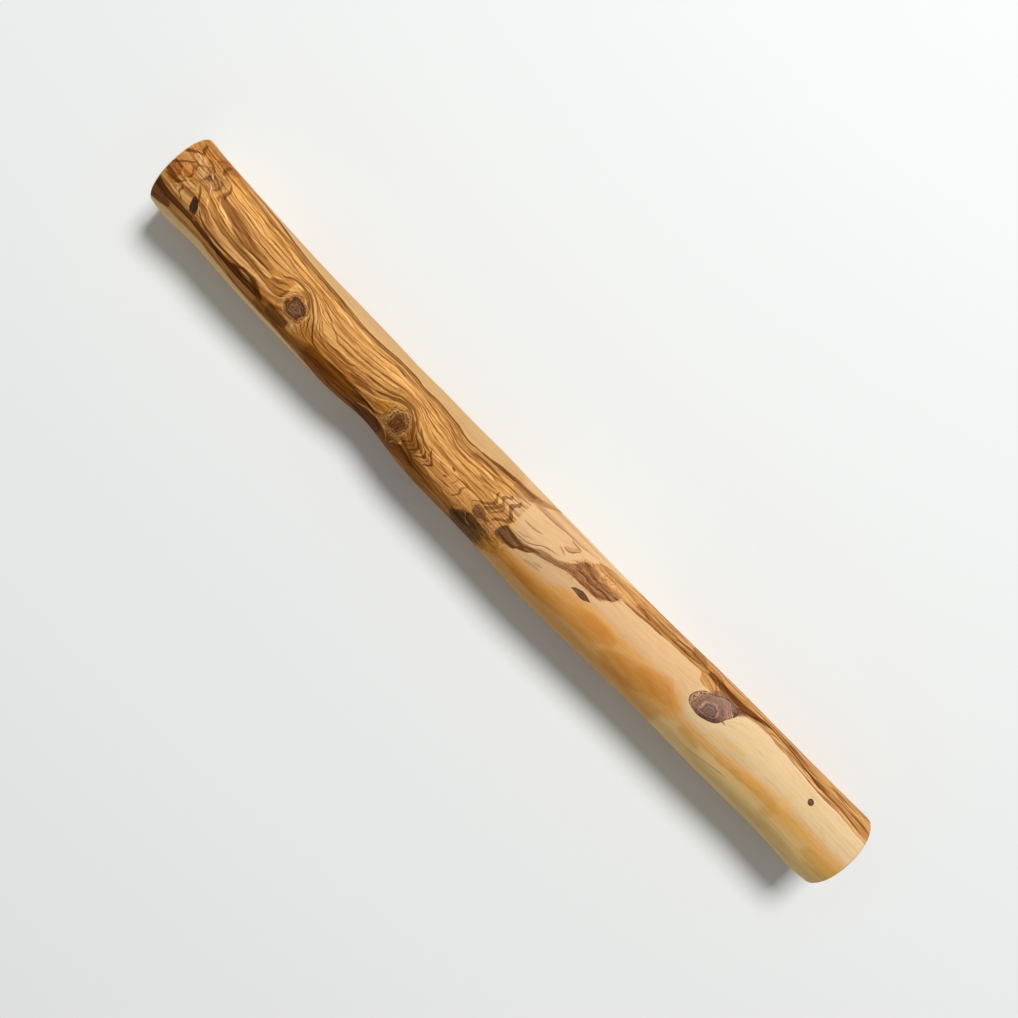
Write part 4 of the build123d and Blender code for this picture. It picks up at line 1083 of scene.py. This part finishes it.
# The cut ends: pith, where the heart's edge and the end itself lie, and the wood's colours
END_PITH = (0.0, 2.5, -3.0)
END_HEART_EDGE = (15.5, 13.5)
END_PLACE = (239.1, 239.7)
END_SCALE, END_ROUGH, END_HEART_ROUGH, END_YEARS = 0.11, 9.0, 7.0, 0.75
END_YEAR_DARK, END_YEAR_PALE = (0.54, 0.66), (0.44, 0.34)
END_DARK_STRENGTH, END_PALE_STRENGTH = 0.75, 0.5
END_SAP, END_HEART = (214, 172, 122), (166, 114, 66)
END_DARK, END_PALE = (104, 62, 30), (226, 178, 120)

# Dead knots: painted shade on their -Y side, the greyed side and patches, fibres and pores
KNOT_PAINTED_SHADE, KNOT_GREY, KNOT_PATCH = (70, 44, 34), (150, 116, 102), (140, 110, 100)
KNOT_FIBRE, KNOT_PORE = (82, 50, 34), (60, 36, 24)
KNOT_SCALE = 0.9
PAINTED_SHADE_PLACE, PAINTED_SHADE_WAVER = (1.0, -4.0), 3.0
GREY_PLACE, GREY_AHEAD, GREY_WAVER, GREY_STRENGTH = (2.0, 6.0), (-6.0, 0.0), 9.0, 0.55
PATCH_EDGE, PATCH_STRENGTH = (0.42, 0.66), 0.35
KNOT_FIBRE_STRENGTH, KNOT_PORE_STRENGTH = 0.35, 0.4
KNOT_GROOVES, GROOVE_EDGE, GROOVE_SHARE = 9.0, (0.0, 0.05), 0.4

# Bark: its colours, and its crumbs and flakes
BARK_BROWN, BARK_PALE, BARK_DARK = (58, 36, 26), (92, 58, 38), (36, 22, 16)
BARK_CRUMBS, BARK_FLAKES, FLAKE_STRENGTH = (0.45, 0.62), (0.56, 0.66), 0.6


def new_material(name, gloss):
    material = bpy.data.materials.new(name)
    material.use_nodes = True
    shader = material.node_tree.nodes["Principled BSDF"]
    shader.inputs["Specular IOR Level"].default_value = gloss
    return material, material.node_tree, shader


def finish_material(tree, shader, colour, roughness, height, depth):
    """Feeds the shader: height is a relief from 0 to 1, and depth is how deep it goes in metres."""
    tree.links.new(colour.socket, shader.inputs["Base Color"])
    tree.links.new(roughness.socket, shader.inputs["Roughness"])
    bump = add_node(tree, "ShaderNodeBump", {"Strength": 1.0, "Distance": depth, "Height": height})
    tree.links.new(bump.outputs["Normal"], shader.inputs["Normal"])


def painted(colour, mask, over):
    return layer(colour, mask, paint(*over))


def tinted(colour, mask, tint):
    """A colour multiplied by a tint where the mask is 1."""
    return layer(colour, mask, (*tint, 1.0), "MULTIPLY")


def ramp(value, stops):
    """A colour by value, through stops of (0 to 1, colour)."""
    node = add_node(value.tree, "ShaderNodeValToRGB", {"Fac": value})
    elements = node.color_ramp.elements
    while len(elements) < len(stops):
        elements.new(0.5)
    for element, (position, colour) in zip(elements, stops):
        element.position = position
        element.color = paint(*colour)
    return Field(node.outputs["Color"])


def ranged(share, least, more):
    """From least, where the share is 0, to as much more where it is 1."""
    return least + share * more


def grained(centred, noise_of):
    """Noise drawn out along the grain."""
    (length, breadth), settings = noise_of
    return cloud(scaled(centred, 1 / length, 1 / breadth, 1 / breadth), **settings)


def spot_share(where, middle, halves, twist):
    """How far a place is from a spot's middle: 1 on its edge."""
    offset = vector_maths("SUBTRACT", where, (*middle, 0.0))
    turn = radians(twist)
    first = vector_maths("DOT_PRODUCT", offset, (cos(turn) / halves[0], sin(turn) / halves[0], 0.0))
    second = vector_maths("DOT_PRODUCT", offset, (-sin(turn) / halves[1], cos(turn) / halves[1], 0.0))
    return maths("SQRT", first * first + second * second)


class Drawing:
    """Draws on a laid-out place with the stroke and area groups."""

    def __init__(self, tree, groups, along, around):
        self.tree, self.groups = tree, groups
        self.along, self.around = along, around

    def strokes(self, lines, width_share, crossing=False):
        """The darkest of several strokes at each place."""
        travel, beside = (self.around, self.along) if crossing else (self.along, self.around)
        most = None
        for strength, half_width, points in lines:
            half_width = width_share * half_width
            place_share, line = drawn(travel, points)
            mask = use_group(self.tree, self.groups["stroke"], share=place_share, line=line, around=beside,
                             half_width=half_width, edge=LINE_EDGE) * strength
            most = mask if most is None else larger(most, mask)
        return most

    def area(self, upper, lower, soft):
        place_share, upper_line = drawn(self.along, upper)
        lower_line = drawn(self.along, lower)[1]
        return use_group(self.tree, self.groups["area"], share=place_share, span=upper[-1][0] - upper[0][0],
                         upper=upper_line, lower=lower_line, around=self.around, soft=soft)

    def lay_areas(self, colour, areas, evenness=1.0):
        """Lays each area's colour over those before it."""
        for shade, strength, soft, upper, lower in areas:
            colour = painted(colour, self.area(upper, lower, soft) * (evenness * strength), shade)
        return colour


def flow_count(along, around):
    """How many growth lines lie between a place and the first flow line."""
    lines = [drawn(along, points)[1] for _, points in FLOW]
    count = maths("MAXIMUM", around - lines[0], 0.0) * -LINES_BEYOND
    for (steps, _), before, after in zip(FLOW[1:], lines, lines[1:]):
        across = smaller(larger((before - around) / (before - after), 0.0), 1.0)
        count = count + across * steps
    return count + maths("MAXIMUM", lines[-1] - around, 0.0) * LINES_BEYOND


def growth_bands(count, along, centred, under):
    """Broad, narrow and line-like bands of the grain, which follow the flow lines."""
    bands = [cloud(vector(along / length, count * often + start), **settings)
             for length, often, start, settings in BANDS]
    below = cloud(scaled(centred, *BELOW_SCALE), detail=3.0, roughness=0.6)
    return [blend(band, under, below) for band in bands]


def growth_lines(count, along):
    """Long dark lines, which drift together and apart, and the wood that darkens towards each of them."""
    drift = cloud(vector(along / 38, count * 0.55 + 23.0), detail=2.0, roughness=0.55)
    turn = count * LINES_PER_STEP + drift * LINES_DRIFT
    part = maths("FRACT", turn)
    own = cloud(vector(along / 42, maths("FLOOR", turn) * 3.7), detail=1.0)
    width = ranged(own, *LINES_WIDTH)
    line = eased(abs(part - 0.5), width + LINES_OUTER, width - LINES_INNER) * eased(own, *LINES_SEEN)
    return line, eased(part, *SHADE_RISE) * eased(part, *SHADE_FALL) * eased(own, *SHADE_SEEN)


def lay_growth(colour, count, along, centred, under, amount):
    bands = growth_bands(count, along, centred, under)
    for band, start, full, strength, tint in BAND_TINTS:
        colour = tinted(colour, eased(bands[band], start, full) * amount * strength, tint)
    line, shade = growth_lines(count, along)
    seen = (1.0 - under) * amount
    colour = tinted(colour, shade * seen * SHADE_STRENGTH, GROWTH_DARK)
    return tinted(colour, line * seen * LINES_STRENGTH, GROWTH_DARK)


def lay_burls(colour, where, centred, crinkle):
    """The burls' swirls, with the spots of the one at the -X end between them."""
    burl = larger(*(eased(spot_share(where, *reach), *BURL_EDGE) for reach in BURL_REACHES))
    swirl = grained(centred, SWIRL)
    curl = eased(abs(maths("FRACT", swirl * SWIRL_TURNS) - 0.5), *CURL_EDGE)
    colour = tinted(colour, burl * eased(swirl, *SWIRL_DARK) * SWIRL_STRENGTH, GROWTH_DARK)
    for shade, strength, edge, middle, halves, twist in SPOTS:
        distance = swayed(spot_share(where, middle, halves, twist), crinkle, SPOT_WAVER)
        colour = painted(colour, eased(distance, 1 + edge, 1 - edge) * strength, shade)
    return tinted(colour, burl * curl * CURL_STRENGTH, GROWTH_DARK)


def lay_lines(colour, brush, width_share):
    pale = larger(brush.strokes(PALE_LINES, width_share), brush.strokes(PALE_CROSSING, width_share, True))
    colour = painted(colour, pale, PALE_LINE)
    dark = brush.strokes(LINES_LEFT + LINES_RIGHT + BURL_LINES, width_share)
    dark = larger(dark, brush.strokes(CROSSING + BURL_CROSSING, width_share, True))
    return painted(colour, dark * LINE_STRENGTH, LINE_BROWN)


def grown_knot(colour, where, waver, name, stops):
    """A knot grown into the wood, with uneven rings about its pith, and where it lies."""
    middle, halves, twist = KNOTS[name]
    ring = swayed(spot_share(where, middle, halves, twist), waver, GROWN_WAVER)
    mask = eased(ring, *GROWN_EDGE)
    return layer(colour, mask * GROWN_COVER, ramp(ring * GROWN_SCALE, stops)), mask


def end_grain(colour, along, centred):
    """The cut ends: rings about the pith, brown heartwood and pale sapwood."""
    offset = vector_maths("SUBTRACT", scaled(centred, 0.0, 1.0, 1.0), END_PITH)
    rough = cloud(scaled(centred, 0.0, END_SCALE, END_SCALE), detail=2.0)
    ring = swayed(vector_maths("LENGTH", offset), rough, END_ROUGH)
    year = cloud(vector(ring * END_YEARS, 3.0), detail=3.0, roughness=0.65)
    heart = eased(swayed(ring, rough, END_HEART_ROUGH), *END_HEART_EDGE)
    wood = layer(paint(*END_SAP), heart, paint(*END_HEART))
    wood = painted(wood, eased(year, *END_YEAR_DARK) * END_DARK_STRENGTH, END_DARK)
    wood = painted(wood, eased(year, *END_YEAR_PALE) * END_PALE_STRENGTH, END_PALE)
    return layer(colour, eased(abs(along), *END_PLACE), wood)


def olive_wood(groups):
    material, tree, shader = new_material("olive_wood", WOOD_GLOSS)
    along, around, _, centred = use_group(tree, groups["place"])
    _, side, up = axes(centred)
    fibre, pores = use_group(tree, groups["fibre"], along=along, side=side, up=up)

    # Drawn places wander a little, and the edges of areas are drawn out along the grain
    sway = grained(centred, SWAY)
    swing = grained(centred, SWING)
    along_drawn = swayed(along, swing, WANDER_ALONG)
    around_drawn = swayed(around, sway, WANDER_AROUND)
    around_rough = swayed(around_drawn, grained(centred, FEATHER), WANDER_EDGE)
    width_share = ranged(sway, *LINE_SHARE)
    under = eased(abs(around), *UNDER_PLACE)
    place_drawn = vector(along_drawn, around_drawn)

    areas = Drawing(tree, groups, along_drawn, around_rough)
    hearts = [areas.area(upper, lower, soft) for _, _, soft, upper, lower in (LEFT_HEART, RIGHT_HEART)]
    figured = larger(*hearts)
    colour = areas.lay_areas(paint(*SAP_CREAM), AREAS)

    # Stains, uneven along the grain, some painted lighter as painted fill light on the -Y side
    wash = grained(centred, WASH)
    stain_along = swayed(along_drawn, sway, STAIN_ALONG)
    stain_around = swayed(around_drawn, wash, STAIN_AROUND)
    stains = Drawing(tree, groups, stain_along, stain_around)
    least, more = STAIN_SHARE
    colour = stains.lay_areas(colour, STAINS_AND_FILL_LIGHT, swayed(least, wash, more))

    crinkle = grained(centred, CRINKLE)
    colour = lay_burls(colour, place_drawn, centred, crinkle)
    colour = lay_lines(colour, Drawing(tree, groups, along_drawn, around_drawn), width_share)
    colour, upper_knot = grown_knot(colour, place_drawn, crinkle, "upper", UPPER_KNOT_STOPS)
    colour, lower_knot = grown_knot(colour, place_drawn, crinkle, "lower", LOWER_KNOT_STOPS)
    plain = (1.0 - upper_knot * GROWN_CLEAR) * (1.0 - lower_knot * GROWN_CLEAR)
    count = flow_count(along_drawn, around_rough)
    colour = lay_growth(colour, count, along, centred, under, ranged(figured, *GROWTH_SHOWN) * plain)
    colour = end_grain(colour, along, centred)

    shown = ranged(figured, *FIBRE_SHOWN)
    colour = tinted(colour, eased(fibre, *FIBRE_DARK_SHARE) * shown, FIBRE_DARK)
    colour = tinted(colour, eased(fibre, *FIBRE_PALE_SHARE) * shown, FIBRE_PALE)
    colour = tinted(colour, pores * shown * PORE_STRENGTH, PORE_DARK)
    relief = fibre * 0.5 + (1.0 - pores) * 0.5
    finish_material(tree, shader, colour, ranged(fibre, *WOOD_ROUGHNESS), relief, WOOD_RELIEF)
    return material


def rings_about(where, pith, reaches, twist):
    """How far a place is from the pith, as a share of the reach on its own side: -x, +x, -y, +y."""
    offset = vector_maths("SUBTRACT", where, (*pith, 0.0))
    inputs = {"Vector": offset, "Angle": radians(-twist)}
    turned = Field(add_node(where.tree, "ShaderNodeVectorRotate", inputs, rotation_type="Z_AXIS").outputs[0])
    near = vector_maths("MINIMUM", turned, (0.0, 0.0, 0.0))
    far = vector_maths("MAXIMUM", turned, (0.0, 0.0, 0.0))
    near = vector_maths("DIVIDE", near, (reaches[0], reaches[2], 1.0))
    far = vector_maths("DIVIDE", far, (reaches[1], reaches[3], 1.0))
    return vector_maths("LENGTH", vector_maths("ADD", near, far)), turned


def knot_wood(groups, name, pith, reaches, twist, stops, wander, shade):
    """Dead wood of a branch: wandering rings about its pith, with painted shade on its -Y side and greyed on
    the other.
    """
    material, tree, shader = new_material(name, KNOT_GLOSS)
    along, _, laid_out, centred = use_group(tree, groups["place"])
    _, side, up = axes(centred)
    fibre, pores = use_group(tree, groups["fibre"], along=side, side=along, up=up)
    scallop = cloud(scaled(laid_out, 0.42, 0.42, 1.0), detail=2.0, distortion=0.6)
    ring, offset = rings_about(laid_out, pith, reaches, twist)
    ring = ring + (scallop - 0.5) * wander * smaller(ring * 1.6, 1.0)
    ahead, beside, _ = axes(offset)
    colour = ramp(ring * KNOT_SCALE, stops)
    # Painted shade: the knot's -Y side, away from the lamp, is darkened
    colour = painted(colour, eased(swayed(beside, scallop, PAINTED_SHADE_WAVER), *PAINTED_SHADE_PLACE) * shade, KNOT_PAINTED_SHADE)
    streaks = cloud(scaled(laid_out, 0.3, 1.2, 1.0), detail=2.0)
    greyed = eased(swayed(beside, streaks, GREY_WAVER), *GREY_PLACE) * eased(ahead, *GREY_AHEAD)
    colour = painted(colour, greyed * GREY_STRENGTH, KNOT_GREY)
    patches = cloud(scaled(laid_out, 0.25, 0.25, 1.0), detail=2.0)
    colour = painted(colour, eased(patches, *PATCH_EDGE) * PATCH_STRENGTH, KNOT_PATCH)
    colour = painted(colour, eased(fibre, *FIBRE_DARK_SHARE) * KNOT_FIBRE_STRENGTH, KNOT_FIBRE)
    colour = painted(colour, pores * KNOT_PORE_STRENGTH, KNOT_PORE)
    groove = eased(ring - maths("FLOOR", ring * KNOT_GROOVES) / KNOT_GROOVES, *GROOVE_EDGE)
    relief = groove * GROOVE_SHARE + fibre * GROOVE_SHARE
    finish_material(tree, shader, colour, ranged(fibre, *KNOT_ROUGHNESS), relief, KNOT_RELIEF)
    return material


def bark(groups):
    """Bark shut in the wood, dull and crumbling."""
    material, tree, shader = new_material("bark", BARK_GLOSS)
    centred = use_group(tree, groups["place"])[-1]
    crumble = cloud(scaled(centred, 0.9, 0.9, 0.9), detail=4.0, roughness=0.7)
    flake = cloud(scaled(centred, 0.5, 1.6, 1.6), detail=2.0)
    colour = layer(paint(*BARK_BROWN), eased(crumble, *BARK_CRUMBS), paint(*BARK_PALE))
    colour = painted(colour, eased(flake, *BARK_FLAKES) * FLAKE_STRENGTH, BARK_DARK)
    finish_material(tree, shader, colour, ranged(crumble, *BARK_ROUGHNESS), crumble, BARK_RELIEF)
    return material


# Dead knots and bark, and their pockets in the skin. Each is a plug about a branch that leaves the
# stick's middle line, and narrows inwards

BARK_SEAM = 0.25
FLOOR_SHARE = 0.6
CUTTER_OVERRUN = 3.0
FLOOR_GAP = 0.05
PLUG_RINGS = 14
WALL_ROWS = 5
SOLVE_STEPS = 5
SHARP_TURN = 32.0
ROUND_STEPS, STRAIGHT_STEPS = 8, 5


class Plug:
    """A plug of so many millimetres. Turn is the branch's lean from the top towards +Y, in degrees."""

    def __init__(self, stick, size, place, turn, twist, shares, rounded, relief):
        self.stick = stick
        self.long, self.wide, self.depth = size
        self.shares, self.rounded, self.relief = shares, rounded, relief
        lean, spin = radians(turn), radians(twist)
        drift, half_width, half_height = stick.at(place)
        self.centre = Vector((place, drift, half_height))
        self.out = Vector((0, sin(lean), cos(lean)))
        beside = Vector((0, cos(lean), -sin(lean)))
        self.right = Vector((cos(spin), 0, 0)) + beside * sin(spin)
        self.up = Vector((-sin(spin), 0, 0)) + beside * cos(spin)
        self.skin = 1 / hypot(sin(lean) / half_width, cos(lean) / half_height)

    def outline(self, seam):
        """The outline on the skin, through the same points as the solid's."""
        corners = [(x * (self.long / 2 + seam), y * (self.wide / 2 + seam)) for x, y in self.shares]
        steps = ROUND_STEPS if self.rounded else STRAIGHT_STEPS
        points = []
        for i in range(len(corners)):
            around = [corners[(i + k) % len(corners)] for k in (-1, 0, 1, 2)]
            for step in range(steps):
                t = step / steps
                if self.rounded:
                    points.append(tuple(cubic(*values, t) for values in zip(*around)))
                else:
                    points.append(tuple(a + (b - a) * t for a, b in zip(around[1], around[2])))
        return points

    def spread(self, height):
        """How wide the plug is at a height, as a share of its width on the skin."""
        return FLOOR_SHARE + (1 - FLOOR_SHARE) * (height - self.skin + self.depth) / self.depth

    def point(self, x, y, height):
        """A point of the plug, by its place in the outline on the skin and its height."""
        spread = self.spread(height)
        return self.centre + self.right * x * spread + self.up * y * spread + self.out * height

    def on_top(self, x, y):
        """The height at which a line of the plug meets the skin."""
        height = self.skin
        for _ in range(SOLVE_STEPS):
            found = self.point(x, y, height)
            drift, _, half_height = self.stick.at(found.x)
            turn = atan2(found.y - drift, found.z - half_height)
            skin = on_skin(self.stick, found.x, turn) / MM
            reach = hypot(found.y - drift, found.z - half_height)
            height += hypot(skin.y - drift, skin.z - half_height) - reach
        return height


def plug_mesh(name, plug):
    """A closed mesh: a top that follows the skin, tapering walls and a floor."""
    outline = plug.outline(0.0)
    points, faces, rings = [plug.point(0, 0, plug.on_top(0, 0) - plug.relief(0.0, 0.0))], [], []
    for ring in range(1, PLUG_RINGS + 1):
        part = ring / PLUG_RINGS
        rings.append(range(len(points), len(points) + len(outline)))
        for step, (x, y) in enumerate(outline):
            height = plug.on_top(x * part, y * part) - plug.relief(part, 2 * pi * step / len(outline))
            points.append(plug.point(x * part, y * part, height))
    rim = [plug.on_top(x, y) - plug.relief(1.0, 0.0) for x, y in outline]
    floor = plug.skin - plug.depth + FLOOR_GAP
    for row in range(1, WALL_ROWS + 1):
        part = row / WALL_ROWS
        rings.append(range(len(points), len(points) + len(outline)))
        points += [plug.point(x, y, top + (floor - top) * part) for (x, y), top in zip(outline, rim)]
    for step in range(len(outline)):
        faces.append((0, rings[0][step], rings[0][(step + 1) % len(outline)]))
    for before, after in zip(rings, rings[1:]):
        faces += ring_faces(before, after, False)
    faces.append(tuple(reversed(rings[-1])))
    mesh = bpy.data.meshes.new(name)
    mesh.from_pydata([metres(point) for point in points], [], faces)
    return dress(mesh)


def pocket_cutter(plug):
    """The plug grown by its seam, from its floor to above the skin."""
    outline = plug.outline(BARK_SEAM)
    floor, above = plug.skin - plug.depth, plug.skin + CUTTER_OVERRUN
    points = [metres(plug.point(x, y, height)) for height in (floor, above) for x, y in outline]
    count = len(outline)
    faces = ring_faces(range(count), range(count, 2 * count), True)
    return points, faces + [tuple(range(count)), tuple(reversed(range(count, 2 * count)))]


def dress(mesh):
    """Turns faces outwards and shades them smooth, with sharp edges where the surface turns."""
    work = bmesh.new()
    work.from_mesh(mesh)
    bmesh.ops.recalc_face_normals(work, faces=work.faces)
    for face in work.faces:
        face.smooth = True
    for edge in work.edges:
        edge.smooth = len(edge.link_faces) == 2 and edge.calc_face_angle() < radians(SHARP_TURN)
    work.to_mesh(mesh)
    work.free()
    return mesh


def cut_pockets(skin, plugs, pocket_material):
    points, faces = [], []
    for plug in plugs:
        more_points, more_faces = pocket_cutter(plug)
        faces += [tuple(i + len(points) for i in face) for face in more_faces]
        points += more_points
    mesh = bpy.data.meshes.new("pockets")
    mesh.from_pydata(points, [], faces)
    dress(mesh)
    mesh.materials.append(pocket_material)
    cutter = place(bpy.data.objects.new("pockets", mesh))
    cut = skin.modifiers.new("pockets", "BOOLEAN")
    cut.operation, cut.solver, cut.object, cut.material_mode = "DIFFERENCE", "EXACT", cutter, "TRANSFER"
    whole = skin.data
    skin.data = bpy.data.meshes.new_from_object(skin.evaluated_get(bpy.context.evaluated_depsgraph_get()))
    skin.modifiers.remove(cut)
    bpy.data.objects.remove(cutter)
    bpy.data.meshes.remove(whole)
    bpy.data.meshes.remove(mesh)
    skin.data.name = "olive_stick"
    dress(skin.data)


# The plugs' sizes and outlines, as in the solids

ENCASED_SHARES = ((1.00, -0.10), (0.95, 0.50), (0.45, 0.92), (0.00, 0.85), (-0.45, 0.97), (-0.90, 0.60),
                  (-1.00, 0.10), (-0.80, -0.40), (-0.40, -0.85), (0.20, -0.98), (0.60, -0.50))
DIAMOND_SHARES = ((1.00, -0.20), (0.37, 0.65), (0.00, 0.95), (-0.67, 0.60), (-1.00, -0.10), (-0.50, -0.35),
                  (0.00, -0.85), (0.38, -0.95))
BARK_SHARES = ((1.00, 0.20), (0.20, 0.95), (-0.60, 0.88), (-0.98, 0.17), (-0.50, -0.45), (0.16, -1.00),
               (0.64, -0.95))
ROUND_SHARES = tuple((cos(2 * pi * i / 12), sin(2 * pi * i / 12)) for i in range(12))


def knot_relief(part, angle):
    """The knot's top shrank a little at its rim and about its rings."""
    ripple = noise.noise(Vector((part * 7, cos(angle), sin(angle))))
    return 0.02 + 0.06 * part ** 6 + 0.04 * (0.5 + 0.5 * ripple)


def pit_relief(part, angle):
    """A pin knot's top, sunk most in its middle."""
    return 0.06 + 0.2 * (1 - part * part)


def bark_relief(part, angle):
    """The bark's top, sunk and uneven."""
    rough = noise.noise(Vector((part * 3, 2 * cos(angle), 2 * sin(angle))))
    return 0.3 + 0.5 * (1 - part ** 3) * (0.7 + 0.5 * rough)


# The dead knots' wood: pith, reaches towards -x, +x, -y and +y, twist, colours, how far rings wander, painted
# shade
KNOT_WOODS = {
    "pin_knot_wood": ((48.0, 0.2), (6.0, 6.0, 2.0, 2.0), 9.0, PIN_KNOT_STOPS, 0.5, 0.2),
    "encased_knot_wood": ((134.8, 3.5), (12.8, 12.0, 5.8, 11.5), 24.0, ENCASED_STOPS, 0.46, 0.85),
    "small_knot_wood": ((203.8, 7.6), (1.6, 1.6, 1.6, 1.6), 0.0, PIN_KNOT_STOPS, 0.5, 0.2),
}


# The plugs: length, width and depth, then place along, lean, twist, outline, whether it is rounded, and top
PLUGS = {
    "encased_knot": ((27.0, 14.4, 13.0), 134.88, 17.0, 30.0, ENCASED_SHARES, True, knot_relief),
    "diamond_knot": ((12.0, 3.4, 5.0), 48.0, 0.5, 9.0, DIAMOND_SHARES, False, pit_relief),
    "small_knot": ((3.2, 3.2, 4.0), 203.76, 20.0, 0.0, ROUND_SHARES, True, pit_relief),
    "bark_pocket": ((9.5, 4.3, 3.5), -217.68, -19.0, -52.0, BARK_SHARES, False, bark_relief),
}


def hang(piece, node, material):
    """Puts a finished piece in its node's place."""
    if material is not None:
        piece.data.materials.append(material)
    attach(piece, "root")
    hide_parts(node)


# The pin

stick = Stick()
make_camera()
make_table()
make_light()

groups = make_groups(stick)
bark_material = bark(groups)
woods = {name: knot_wood(groups, name, *settings) for name, settings in KNOT_WOODS.items()}
finishes = {
    "encased_knot": ("knot_wood", woods["encased_knot_wood"]),
    "diamond_knot": ("knot_wood", woods["pin_knot_wood"]),
    "small_knot": ("knot_wood", woods["small_knot_wood"]),
    "bark_pocket": ("bark", bark_material),
}

plugs = {name: Plug(stick, *settings) for name, settings in PLUGS.items()}
skin = make_skin(stick)
skin.data.materials.append(olive_wood(groups))
cut_pockets(skin, plugs.values(), bark_material)
hang(skin, "pin_body", None)
for name, plug in plugs.items():
    slot, material = finishes[name]
    hang(place(bpy.data.objects.new(f"{name}_top", plug_mesh(f"{name}_top", plug))), name, material)
